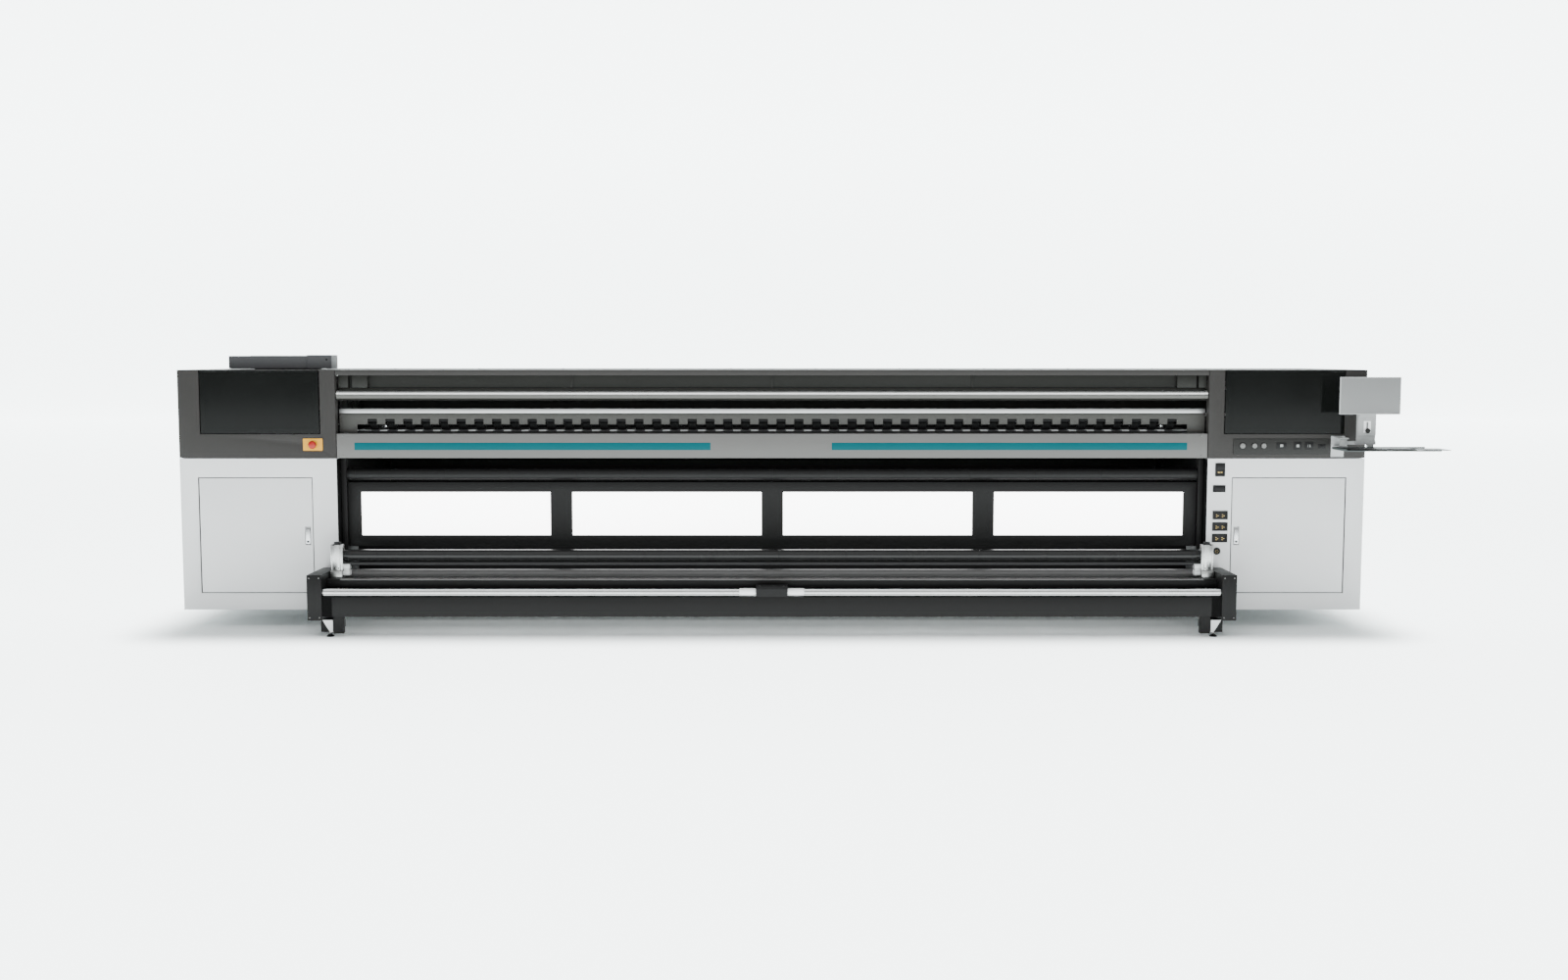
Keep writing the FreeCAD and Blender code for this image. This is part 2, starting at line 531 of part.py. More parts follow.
frame_c = fuse(*([plate, tray, side_l, side_r, neck, roof] + blocks))
node("carriage_frame", frame_c)
hood = fuse(box("@car_left-16", "@car_front", "@hood_low", 484, 470, "@hood_high-6"),
            box("@car_left+468", "@car_front-6", "@hood_low", 151, 140, "@hood_high"))
hood = cut(hood, box("@car_left-13", "@car_front+3", "@hood_low-2", 478, 464, "@hood_high-8"),
           box("@car_left+460", "@car_front-3", "@hood_low-2", 156, 134, "@hood_high-8"))
node("carriage_hood", hood)
node("print_heads", group(*[box("@car_left+152+%d" % (i * 95), -328, 1203, 70, 296, 90) for i in range(4)]))
node("uv_lamps", group(box("@car_left+10", -340, 1206, 110, 310, 24), box("@car_left+549", -340, 1206, 110, 310, 24)))
node("capping_station", fuse(box("@car_left+20", -360, 1060, 629, 370, 80),
                             *[box("@car_left+150+%d" % (i * 95), -332, 1140, 74, 304, 50) for i in range(4)]))

# ------------------------------------------------------------ services
node("ink_tanks", group(*[box(-3380.0 + i * 130, -300, 113, 110, 260, 420) for i in range(4)]))
node("electronics_box", cut(box(2820, -100, 113, 560, 320, 620), box(2824, -96, 117, 552, 312, 620)))

# ------------------------------------------------------------ controls
node("estop_plate", cut(box(-2838, -606, 1082, 118, 6, 74), cyl("Y", -2779, -610, 1118, 12.1, 20)))
node("estop_button", fuse(cyl("Y", -2779, -628, 1118, 24, 14), cyl("Y", -2779, -614.5, 1118, 12, 14)))
panel = box(2792, -606, 1060, 580, 6, 94)
lamp = cyl("Y", 2846, -616, 1112, 17, 12)
knob2 = [box(3054, -610, 1096, 56, 6, 34), box(3160, -610, 1090, 40, 6, 44), box(3226, -610, 1090, 46, 6, 44), box(3306, -610, 1096, 40, 6, 24)]
panel = cut(fuse(panel, lamp, *knob2), *[cyl("Y", x, -612, 1112, 10.1, 30) for x in (2918.0, 2974.0)])
node("control_panel", panel)
for label, x in (("start_button", 2918.0), ("stop_button", 2974.0)):
    node(label, fuse(cyl("Y", x, -616, 1112, 15, 6), cyl("Y", x, -611, 1112, 10, 12)))
inlets = [box(2686, -606, 926, 59, 6, 81), box(2676, -606, 664, 92, 6, 52), box(2676, -606, 594, 92, 6, 52), box(2676, -606, 524, 92, 6, 52)]
rock = cut(box(2674, -606, 830, 76, 6, 42), box(2679, -606.5, 835, 66, 5, 32))
plug = fuse(cyl("Y", 2706, -612, 470, 22, 12))
cuts = [box(2695, -610, 936, 41, 8, 30)] + [box(2686, -610, z, 72, 8, 36) for z in (672.0, 602.0, 532.0)]
cuts.append(cyl("Y", 2706, -614, 470, 15, 8))
node("power_inlets", group(
    cut(inlets[0], cuts[0]), rock, cut(inlets[1], cuts[1]), cut(inlets[2], cuts[2]), cut(inlets[3], cuts[3]), cut(plug, cuts[4])))
rk, rs = body_with_sketch("XY_Plane")
pts = [(-31.5, -4.0), (0.0, -6.5), (31.5, -9.0), (31.5, -5.5), (0.0, -3.4), (-31.5, -2.0)]
for i in range(len(pts)):
    p, q = pts[i], pts[(i + 1) % len(pts)]
    rs.addGeometry(Part.LineSegment(V(p[0], p[1], 0), V(q[0], q[1], 0)), False)
pad(rk, rs, 28.0, both=True)
rk.Placement.Base = V(2712, -603.5, 851)
node("power_rocker", fuse(rk, cyl("Z", 2712, -603.5, 836.6, 1.6, 28.8)))

# ------------------------------------------------------------ monitor arm
node("monitor_wall_bracket", fuse(box(3381, -606, 1045, 78, 6, 127), box(3395, -725, 1106, 50, 122, 8), box(3395, -725, 1158, 50, 122, 8),
                                  cyl("Z", 3420, -705, 1100, 8, 76)))
eye = cut(fuse(cyl("Z", 3420, -705, 1116, 20, 40), box(3420, -715, 1126, 190, 20, 20)), cyl("Z", 3420, -705, 1110, 8.05, 60))
upright = box(3486, -735, 1126, 112, 8, 180)
stud = cyl("Y", 3545, -758, 1210, 5, 24)
hang = [box(3560, -735, 1112, 30, 40, 20)]
node("monitor_arm", fuse(eye, upright, box(3486, -730, 1126, 112, 20, 20), stud, *hang))
node("keyboard_tray", fuse(box(3339, -985, 1100, 555, 245, 6), box(3500, -760, 1100, 130, 70, 12), box(3894, -930, 1102, 78, 180, 4),
                           box(3792, -985, 1106, 102, 245, 6), box(3339, -985, 1100, 4, 245, 14)))
slotted = cut(box(3490, -745, 1180, 108, 8, 127), box(3539.8, -760, 1200, 10.4, 40, 62))
plate_m = box(3371, -763, 1307, 363, 18, 222)
node("monitor", fuse(slotted, plate_m))
node("monitor_knob", cut(cyl("Y", 3545, -764, 1210, 15, 18), cyl("Y", 3545, -759, 1210, 5.05, 20)))

# ------------------------------------------------------------ write
doc.recompute()
failed = []
for item in doc.Objects:
    if "Invalid" in item.State or "Error" in item.State:
        failed.append(item.Name + " " + item.TypeId)
for label, top in nodes.items():
    shape = top.Shape
    if shape.isNull() or not shape.isValid():
        failed.append("shape " + label)
    elif not shape.Solids:
        failed.append("no solid " + label)
if failed:
    raise RuntimeError("failed: " + "; ".join(failed))
if len(nodes) > 60:
    raise RuntimeError("too many nodes: %d" % len(nodes))
low = [1e9] * 3
high = [-1e9] * 3
for label, top in nodes.items():
    bbx = top.Shape.BoundBox
    for k, (p, q) in enumerate(((bbx.XMin, bbx.XMax), (bbx.YMin, bbx.YMax), (bbx.ZMin, bbx.ZMax))):
        low[k] = min(low[k], p)
        high[k] = max(high[k], q)
    top.Shape.exportStep("parts/%s.step" % label)
print("nodes", len(nodes), "low", [round(v, 2) for v in low], "high", [round(v, 2) for v in high])
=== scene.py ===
import bpy
import bmesh
import json
import math
import random
from mathutils import Vector, Matrix


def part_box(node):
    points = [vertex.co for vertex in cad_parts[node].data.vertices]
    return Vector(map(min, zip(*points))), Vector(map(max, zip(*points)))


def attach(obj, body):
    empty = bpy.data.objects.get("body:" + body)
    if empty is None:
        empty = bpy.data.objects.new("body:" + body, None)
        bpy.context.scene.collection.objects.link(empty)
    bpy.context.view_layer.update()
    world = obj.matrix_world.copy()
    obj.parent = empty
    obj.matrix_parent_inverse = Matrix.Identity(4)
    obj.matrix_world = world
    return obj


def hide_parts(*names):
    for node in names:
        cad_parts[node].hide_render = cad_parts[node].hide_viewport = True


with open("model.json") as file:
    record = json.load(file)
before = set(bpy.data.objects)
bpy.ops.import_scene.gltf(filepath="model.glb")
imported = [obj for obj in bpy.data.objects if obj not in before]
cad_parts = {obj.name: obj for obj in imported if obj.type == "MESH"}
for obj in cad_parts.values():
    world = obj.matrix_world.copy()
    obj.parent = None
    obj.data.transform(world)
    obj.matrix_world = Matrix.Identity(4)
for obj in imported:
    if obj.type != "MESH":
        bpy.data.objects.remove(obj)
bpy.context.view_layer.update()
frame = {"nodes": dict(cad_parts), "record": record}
nodes = frame["nodes"]
random.seed(7)

# the machine's own middle and front plane, read from the frame
_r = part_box("silver_rails")
_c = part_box("left_lower_cabinet")
OX = (_r[0].x + _r[1].x) / 2
OY = _c[0].y + 0.6


def P(x, y, z):
    """Millimetres about the machine's middle to the row frame in metres."""
    return Vector((x / 1000 + OX, y / 1000 + OY, z / 1000))


# ------------------------------------------------------------------ materials
def new_mat(name):
    m = bpy.data.materials.new(name)
    m.use_nodes = True
    nt = m.node_tree
    return m, nt, nt.nodes["Principled BSDF"]


def finish(name, color, rough=0.5, metal=0.0, grain=900.0, bump=0.12, var=0.08, rvar=0.08,
           stretch=(1, 1, 1), dust=0.0, coat=0.0, spec=0.5, dist=0.0004, emit=None, alpha=None,
           trans=0.0, second=None, scratch=0.0, ior=None):
    """A surface with fine grain, broad tone drift, settled dust on upward faces and fine scratches."""
    m, nt, bsdf = new_mat(name)
    N, L = nt.nodes, nt.links
    tc = N.new("ShaderNodeTexCoord")
    mp = N.new("ShaderNodeMapping")
    mp.inputs["Scale"].default_value = stretch
    L.new(tc.outputs["Object"], mp.inputs["Vector"])
    fine = N.new("ShaderNodeTexNoise")
    fine.inputs["Scale"].default_value = grain
    fine.inputs["Detail"].default_value = 3
    L.new(mp.outputs["Vector"], fine.inputs["Vector"])
    broad = N.new("ShaderNodeTexNoise")
    broad.inputs["Scale"].default_value = 2.6
    broad.inputs["Detail"].default_value = 6
    broad.inputs["Roughness"].default_value = 0.62
    L.new(tc.outputs["Object"], broad.inputs["Vector"])
    ramp = N.new("ShaderNodeValToRGB")
    a, b = ramp.color_ramp.elements
    a.position, b.position = 0.25, 0.78
    c2 = second or color
    a.color = [max(0, v * (1 - var)) for v in color[:3]] + [1]
    b.color = [min(1, v * (1 + var)) for v in c2[:3]] + [1]
    L.new(broad.outputs["Fac"], ramp.inputs["Fac"])
    col = ramp.outputs["Color"]
    speck = N.new("ShaderNodeMapRange")
    speck.inputs["From Min"].default_value = 0.3
    speck.inputs["From Max"].default_value = 0.7
    speck.inputs["To Min"].default_value = 1 - var * 0.8
    speck.inputs["To Max"].default_value = 1 + var * 0.8
    L.new(fine.outputs["Fac"], speck.inputs["Value"])
    mul = N.new("ShaderNodeVectorMath")
    mul.operation = "SCALE"
    L.new(col, mul.inputs[0])
    L.new(speck.outputs["Result"], mul.inputs["Scale"])
    col = mul.outputs["Vector"]
    if dust:
        geo = N.new("ShaderNodeNewGeometry")
        sep = N.new("ShaderNodeSeparateXYZ")
        L.new(geo.outputs["Normal"], sep.inputs[0])
        up = N.new("ShaderNodeMapRange")
        up.inputs["From Min"].default_value = 0.6
        up.inputs["From Max"].default_value = 1.0
        up.inputs["To Max"].default_value = dust
        L.new(sep.outputs["Z"], up.inputs["Value"])
        dn = N.new("ShaderNodeTexNoise")
        dn.inputs["Scale"].default_value = 34
        dn.inputs["Detail"].default_value = 8
        L.new(tc.outputs["Object"], dn.inputs["Vector"])
        dm = N.new("ShaderNodeMath")
        dm.operation = "MULTIPLY"
        L.new(up.outputs["Result"], dm.inputs[0])
        L.new(dn.outputs["Fac"], dm.inputs[1])
        mx = N.new("ShaderNodeMix")
        mx.data_type = "RGBA"
        mx.inputs[7].default_value = (0.33, 0.33, 0.32, 1)
        L.new(dm.outputs[0], mx.inputs[0])
        L.new(col, mx.inputs[6])
        col = mx.outputs[2]
    L.new(col, bsdf.inputs["Base Color"])
    rr = N.new("ShaderNodeMapRange")
    rr.inputs["From Min"].default_value = 0.3
    rr.inputs["From Max"].default_value = 0.7
    rr.inputs["To Min"].default_value = max(0.02, rough - rvar)
    rr.inputs["To Max"].default_value = min(1, rough + rvar)
    mixr = N.new("ShaderNodeMath")
    mixr.operation = "ADD"
    h1 = N.new("ShaderNodeMath")
    h1.operation = "MULTIPLY"
    h1.inputs[1].default_value = 0.5
    h2 = N.new("ShaderNodeMath")
    h2.operation = "MULTIPLY"
    h2.inputs[1].default_value = 0.5
    L.new(fine.outputs["Fac"], h1.inputs[0])
    L.new(broad.outputs["Fac"], h2.inputs[0])
    L.new(h1.outputs[0], mixr.inputs[0])
    L.new(h2.outputs[0], mixr.inputs[1])
    L.new(mixr.outputs[0], rr.inputs["Value"])
    L.new(rr.outputs["Result"], bsdf.inputs["Roughness"])
    bp = N.new("ShaderNodeBump")
    bp.inputs["Strength"].default_value = bump
    bp.inputs["Distance"].default_value = dist
    hgt = fine.outputs["Fac"]
    if scratch:
        sc = N.new("ShaderNodeTexNoise")
        sc.inputs["Scale"].default_value = 60
        sc.inputs["Detail"].default_value = 2
        m2 = N.new("ShaderNodeMapping")
        m2.inputs["Scale"].default_value = (0.15, 6, 6)
        m2.inputs["Rotation"].default_value = (0.2, 0.3, 0.4)
        L.new(tc.outputs["Object"], m2.inputs["Vector"])
        L.new(m2.outputs["Vector"], sc.inputs["Vector"])
        ad = N.new("ShaderNodeMath")
        ad.operation = "MULTIPLY_ADD"
        ad.inputs[1].default_value = scratch
        L.new(sc.outputs["Fac"], ad.inputs[0])
        L.new(hgt, ad.inputs[2])
        hgt = ad.outputs[0]
    L.new(hgt, bp.inputs["Height"])
    L.new(bp.outputs["Normal"], bsdf.inputs["Normal"])
    bsdf.inputs["Metallic"].default_value = metal
    bsdf.inputs["Specular IOR Level"].default_value = spec
    bsdf.inputs["Coat Weight"].default_value = coat
    bsdf.inputs["Coat Roughness"].default_value = 0.12
    if ior:
        bsdf.inputs["IOR"].default_value = ior
    if trans:
        bsdf.inputs["Transmission Weight"].default_value = trans
    if emit:
        bsdf.inputs["Emission Color"].default_value = emit[:3] + (1,) if isinstance(emit, tuple) else emit
        bsdf.inputs["Emission Strength"].default_value = emit[3]
    if alpha is not None:
        bsdf.inputs["Alpha"].default_value = alpha
    return m


def under(m, tone=(0.065, 0.064, 0.060)):
    """Painted shade: a darker colour on the faces that look sideways and down, for parts that never turn."""
    nt = m.node_tree
    N, L = nt.nodes, nt.links
    b = N["Principled BSDF"]
    geo = N.new("ShaderNodeNewGeometry")
    sep = N.new("ShaderNodeSeparateXYZ")
    L.new(geo.outputs["Normal"], sep.inputs[0])
    mr = N.new("ShaderNodeMapRange")
    mr.interpolation_type = "SMOOTHSTEP"
    mr.inputs["From Min"].default_value = 0.40
    mr.inputs["From Max"].default_value = 0.02
    L.new(sep.outputs["Z"], mr.inputs["Value"])
    mx = N.new("ShaderNodeMix")
    mx.data_type = "RGBA"
    src = b.inputs["Base Color"].links[0].from_socket
    L.new(src, mx.inputs[6])
    mx.inputs[7].default_value = (*tone, 1)
    L.new(mr.outputs["Result"], mx.inputs[0])
    L.new(mx.outputs[2], b.inputs["Base Color"])
    return m


mt = {
    "cabinet_light": finish("cabinet_paint", (0.56, 0.56, 0.565), 0.46, grain=1300, bump=0.10, var=0.025, dust=0.10, dist=0.0003),
    "head_dark": finish("head_paint", (0.0285, 0.027, 0.026), 0.50, grain=1200, bump=0.14, var=0.06, dust=0.12, dist=0.0003, spec=0.13),
    "frame_black": finish("frame_paint", (0.0085, 0.0083, 0.0083), 0.42, grain=900, bump=0.12, var=0.12, dust=0.06, scratch=0.3, spec=0.10),
    "beam_grey": finish("beam_paint", (0.050, 0.0488, 0.0455), 0.42, grain=900, bump=0.08, var=0.05, dust=0.04, spec=0.14),
    "panel_grey": finish("front_paint", (0.098, 0.0955, 0.0925), 0.40, grain=1300, bump=0.07, var=0.03, dust=0.04, spec=0.25),
    "silver": finish("satin_aluminium", (0.44, 0.44, 0.436), 0.28, metal=1.0, grain=700, bump=0.05, var=0.03, stretch=(0.02, 1, 1), rvar=0.10),
    "steel": finish("ground_steel", (0.52, 0.52, 0.53), 0.30, metal=1.0, grain=800, bump=0.06, var=0.05, stretch=(0.05, 1, 1), rvar=0.10),
    "rubber_black": finish("wheel_rubber", (0.006, 0.006, 0.006), 0.62, grain=1500, bump=0.25, var=0.15, dust=0.05, spec=0.12),
    "roller_black": finish("sleeve_rubber", (0.009, 0.009, 0.009), 0.36, grain=900, bump=0.08, var=0.12, stretch=(0.2, 1, 1), spec=0.13),
    "belt": finish("belt_rubber", (0.02, 0.02, 0.02), 0.6, grain=700, bump=0.3, var=0.15, spec=0.3),
    "teal": finish("teal_vinyl", (0.0012, 0.071, 0.085), 0.34, grain=1800, bump=0.03, var=0.04, spec=0.05),
    "diffuser": finish("diffuser_sheet", (0.93, 0.94, 0.94), 0.5, grain=500, bump=0.02, var=0.01, emit=(1.0, 1.0, 1.0, 7.0)),
    "tinted": finish("tinted_acrylic", (0.004, 0.0045, 0.0042), 0.09, grain=200, bump=0.01, var=0.1, rvar=0.03, trans=0.12, ior=1.49, spec=0.05),
    "plastic_black": finish("black_plastic", (0.007, 0.007, 0.0072), 0.45, grain=1600, bump=0.2, var=0.1, spec=0.15),
    "plastic_dark": finish("dark_panel", (0.016, 0.0158, 0.015), 0.42, grain=1600, bump=0.15, var=0.06, spec=0.15),
    "white_plastic": finish("white_nylon", (0.88, 0.88, 0.88), 0.35, grain=900, bump=0.05, var=0.02, stretch=(0.1, 1, 1)),
    "yellow": finish("yellow_enamel", (0.52, 0.25, 0.012), 0.35, grain=1200, bump=0.06, var=0.04, spec=0.25),
    "red": finish("red_mushroom", (0.26, 0.008, 0.004), 0.28, grain=1500, bump=0.03, var=0.05, spec=0.3),
    "button_pale": finish("pale_button", (0.13, 0.13, 0.126), 0.30, grain=1500, bump=0.03, var=0.04, spec=0.3),
    "monitor_shell": finish("monitor_moulding", (0.33, 0.335, 0.335), 0.45, grain=1800, bump=0.15, var=0.03),
    "tank": finish("ink_tank", (0.72, 0.72, 0.68), 0.4, grain=500, bump=0.06, var=0.05),
    "tray": finish("tray_sheet", (0.055, 0.064, 0.064), 0.45, grain=1200, bump=0.12, var=0.06, dust=0.03, spec=0.25),
}
mt["dark_gap"] = finish("shadow_gap", (0.003, 0.003, 0.003), 0.8, grain=400, bump=0.1, var=0.2, spec=0.05)
mt["zinc"] = finish("zinc_fastener", (0.17, 0.17, 0.165), 0.40, metal=1.0, grain=2200, bump=0.08, var=0.08)
mt["glass_dark"] = finish("screen_glass", (0.010, 0.012, 0.014), 0.10, grain=300, bump=0.01, var=0.2, rvar=0.03, coat=0.5)
mt["led_green"] = finish("green_lamp", (0.02, 0.30, 0.08), 0.3, grain=600, bump=0.02, var=0.1, emit=(0.05, 0.8, 0.2, 0.6))
mt["brass"] = finish("contact_brass", (0.62, 0.45, 0.18), 0.3, metal=1.0, grain=1500, bump=0.05, var=0.05)
mt["hood_paint"] = finish("hood_paint", (0.072, 0.0725, 0.076), 0.48, grain=1200, bump=0.12, var=0.06, dust=0.08, spec=0.12)
mt["white_label"] = finish("blank_plate", (0.22, 0.225, 0.22), 0.4, grain=1500, bump=0.04, var=0.03, spec=0.3)

mt["sleeve_grey"] = finish("grey_sleeve", (0.0085, 0.0085, 0.0085), 0.24, grain=900, bump=0.05, var=0.08, stretch=(0.2, 1, 1), spec=0.24)
mt["edge_silver"] = finish("edge_aluminium", (0.385, 0.385, 0.385), 0.34, metal=0.9, grain=700, bump=0.05, var=0.03, stretch=(0.02, 1, 1), rvar=0.08)
mt["rod_grey"] = finish("rod_enamel", (0.018, 0.018, 0.0185), 0.38, grain=900, bump=0.06, var=0.06, spec=0.2)
# darker copy of the dark head paint for the inner shield in the recess: painted shade
mt["recess_paint"] = finish("recess_paint", (0.0145, 0.0147, 0.013), 0.45, grain=1200, bump=0.1, var=0.06, spec=0.12)
# the guard tube's sides and underside are darkened by painted shade
mt["rail_silver"] = under(finish("rail_aluminium", (0.88, 0.88, 0.87), 0.30, metal=0.9, grain=700, bump=0.05, var=0.03, stretch=(0.02, 1, 1), rvar=0.08))
mt["grit"] = finish("gritted_steel", (0.30, 0.30, 0.30), 0.5, metal=0.8, grain=2500, bump=0.3, var=0.1)
# white lands: the white is a painted glint of polished steel
mt["land_white"] = finish("land_painted_glint", (0.95, 0.95, 0.95), 0.35, metal=0.0, grain=1200, bump=0.03, var=0.01, spec=0.8)
mt["roller_satin"] = finish("satin_sleeve", (0.085, 0.082, 0.082), 0.33, grain=900, bump=0.06, var=0.06, stretch=(0.2, 1, 1), spec=0.6)
mt["white_metal"] = finish("bright_casting", (0.50, 0.50, 0.50), 0.34, metal=0.35, grain=900, bump=0.06, var=0.03)
mt["monitor_face"] = finish("monitor_film", (0.165, 0.167, 0.167), 0.42, grain=1400, bump=0.05, var=0.04, spec=0.3)

slot_of = {s["node"]: s["material_slot"] for s in frame["record"]["subparts"]}
for name, obj in nodes.items():
    m = mt[slot_of[name]]
    if name == "carriage_hood":
        m = mt["hood_paint"]
    if name in ("roller_posts",):
        m = mt["silver"]
    if not obj.material_slots:
        obj.data.materials.append(m)
    for s in obj.material_slots:
        s.material = m


# ------------------------------------------------------------------ mesh helpers
def bm_box(bm, lo, hi, r=0.0, seg=2):
    a, b = Vector(lo), Vector(hi)
    g = bmesh.ops.create_cube(bm, size=1.0)
    vs = g["verts"]
    for v in vs:
        v.co = Vector(((a.x + b.x) / 2 + v.co.x * (b.x - a.x), (a.y + b.y) / 2 + v.co.y * (b.y - a.y),
                       (a.z + b.z) / 2 + v.co.z * (b.z - a.z)))
    if r > 0:
        es = list({e for v in vs for e in v.link_edges})
        bmesh.ops.bevel(bm, geom=es, offset=r, segments=seg, affect="EDGES", profile=0.5, clamp_overlap=True)


def box_mm(bm, x, y, z, lx, ly, lz, r=0.0, seg=2):
    bm_box(bm, P(x, y, z), P(x + lx, y + ly, z + lz), r / 1000.0, seg)


AX = {"X": (Vector((1, 0, 0)), Vector((0, 1, 0)), Vector((0, 0, 1))),
      "Y": (Vector((0, 1, 0)), Vector((0, 0, 1)), Vector((1, 0, 0))),
      "Z": (Vector((0, 0, 1)), Vector((1, 0, 0)), Vector((0, 1, 0)))}


def lathe(bm, axis, origin, profile, seg=32, closed=False):
    """Turn (along, radius) points in metres about an axis through origin."""
    d, u, w = AX[axis]
    rings = []
    for along, rad in profile:
        if rad <= 1e-7:
            rings.append([bm.verts.new(origin + d * along)])
        else:
            rings.append([bm.verts.new(origin + d * along + (u * math.cos(t) + w * math.sin(t)) * rad)
                          for t in [2 * math.pi * k / seg for k in range(seg)]])
    pairs = list(zip(rings, rings[1:]))
    if closed:
        pairs.append((rings[-1], rings[0]))
    for p, q in pairs:
        if len(p) == 1 and len(q) == 1:
            continue
        for k in range(seg):
            j = (k + 1) % seg
            if len(p) == 1:
                bm.faces.new((p[0], q[j], q[k]))
            elif len(q) == 1:
                bm.faces.new((p[k], p[j], q[0]))
            else:
                bm.faces.new((p[k], p[j], q[j], q[k]))


def rod(bm, axis, x, y, z, r, length, seg=28, ch=0.6):
    r, length, ch = r / 1000.0, length / 1000.0, ch / 1000.0
    lathe(bm, axis, P(x, y, z), [(0, 0), (0, r - ch), (ch, r), (length - ch, r), (length, r - ch), (length, 0)], seg)


def piece(name, bm, mat, body="root", replaces=(), angle=35):
    me = bpy.data.meshes.new(name)
    bmesh.ops.recalc_face_normals(bm, faces=bm.faces)
    bm.to_mesh(me)
    bm.free()
    me.shade_smooth()
    me.set_sharp_from_angle(angle=math.radians(angle))
    ob = bpy.data.objects.new(name, me)
    bpy.context.scene.collection.objects.link(ob)
    me.materials.append(mt[mat])
    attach(ob, body)
    if replaces:
        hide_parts(*replaces)
    return ob


def rounded(node, mat, width, body, seg=2, mat_key=None, relief=None):
    """The node's own shape with formed edges, standing for the plain node."""
    src = nodes[node]
    bm = bmesh.new()
    bm.from_mesh(src.data)
    bmesh.ops.remove_doubles(bm, verts=bm.verts, dist=2e-5)
    bmesh.ops.dissolve_limit(bm, angle_limit=0.02, verts=bm.verts, edges=bm.edges, use_dissolve_boundaries=False)
    me = bpy.data.meshes.new(node + "_formed")
    bm.to_mesh(me)
    bm.free()
    tmp = bpy.data.objects.new(node + "_tmp", me)
    bpy.context.scene.collection.objects.link(tmp)
    mod = tmp.modifiers.new("edge", "BEVEL")
    mod.width = width / 1000.0
    mod.segments = seg
    mod.limit_method = "ANGLE"
    mod.angle_limit = math.radians(50)
    mod.use_clamp_overlap = True
    bpy.context.view_layer.update()
    ev = tmp.evaluated_get(bpy.context.evaluated_depsgraph_get())
    out = bpy.data.meshes.new_from_object(ev)
    bpy.data.objects.remove(tmp)
    bm = bmesh.new()
    bm.from_mesh(out)
    if relief:
        lo, hi, move = relief
        for v in bm.verts:
            if all(lo[k] < v.co[k] * 1000.0 < hi[k] for k in range(3)):
                v.co += Vector(move) / 1000.0
    return piece(node + "_shell", bm, mat, body, (node,), 30)

# ------------------------------------------------------------------ formed shells
# the inner shield takes the darker recess paint, which is painted shade
for n, w, key in (("left_lower_cabinet", 1.3, "cabinet_light"), ("right_lower_cabinet", 1.3, "cabinet_light"),
                  ("left_head_shell", 1.3, "head_dark"), ("right_head_shell", 1.3, "head_dark"),
                  ("takeup_end_boxes", 1.8, "frame_black"), ("takeup_frame", 2.5, "frame_black"),
                  ("base_frame", 0.8, "frame_black"), ("top_covers", 1.3, "head_dark"),
                  ("front_panel", 2.0, "panel_grey"), ("light_box_housing", 1.5, "frame_black"),
                  ("inner_shield", 1.0, "recess_paint"), ("pinch_beam", 0.9, "beam_grey")):
    # the beam seats stand back 1.5 mm from the path of the carriage
    rounded(n, key, w, "root",
            relief=((-9000, 217.0, 1175.5), (9000, 218.2, 1236.5), (0, 1.5, 0)) if n == "base_frame" else None)


# ------------------------------------------------------------------ doors
def door(label, sign, body):
    """Pressed door: rounded rim, latch recess left open."""
    lo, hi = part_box(label)
    bm = bmesh.new()
    lat = 2806.0 if sign > 0 else -2840.0
    # the latch recess splits the panel into a ring round the pocket
    x0, x1 = lo.x, hi.x
    a, b = P(lat, 0, 0).x, P(lat + 34, 0, 0).x
    zl, zh = 0.508, 0.620
    y0, y1 = lo.y, hi.y
    pts_x = sorted([x0, a, b, x1])
    pts_z = [lo.z, zl, zh, hi.z]
    grid = [[bm.verts.new((x, y0, z)) for x in pts_x] for z in pts_z]
    for i in range(3):
        for j in range(3):
            if i == 1 and j == 1:
                continue
            bm.faces.new((grid[i][j], grid[i][j + 1], grid[i + 1][j + 1], grid[i + 1][j]))
    ext = bmesh.ops.extrude_face_region(bm, geom=list(bm.faces))
    vs = [g for g in ext["geom"] if isinstance(g, bmesh.types.BMVert)]
    for v in vs:
        v.co.y = y1
    bmesh.ops.recalc_face_normals(bm, faces=bm.faces)
    # pocket floor
    bm_box(bm, (a - 0.001, y1 - 0.003, zl - 0.001), (b + 0.001, y1 - 0.0005, zh + 0.001))
    rim = [e for e in bm.edges if len(e.link_faces) == 2 and e.calc_face_angle(0) > 1.2]
    bmesh.ops.bevel(bm, geom=rim, offset=0.0016, segments=3, affect="EDGES", profile=0.5, clamp_overlap=True)
    piece(label + "_panel", bm, "cabinet_light", body, (label,), 30)
    # rubber seal seen as the dark line round the door
    bm = bmesh.new()
    free = (x0 - 0.0045, x0 - 0.0012) if sign > 0 else (x1 + 0.0012, x1 + 0.0045)
    for q in ((x0 - 0.0045, lo.z - 0.0045, x1 + 0.0045, lo.z - 0.0012), (x0 - 0.0045, hi.z + 0.0012, x1 + 0.0045, hi.z + 0.0045),
              (free[0], lo.z - 0.0045, free[1], hi.z + 0.0045)):
        bm_box(bm, (q[0], y0 + 0.004, q[1]), (q[2], y0 + 0.010, q[3]), 0.0006)
    piece(label + "_seal", bm, "dark_gap", "root")


door("left_door", -1, "door_left")
door("right_door", 1, "door_right")


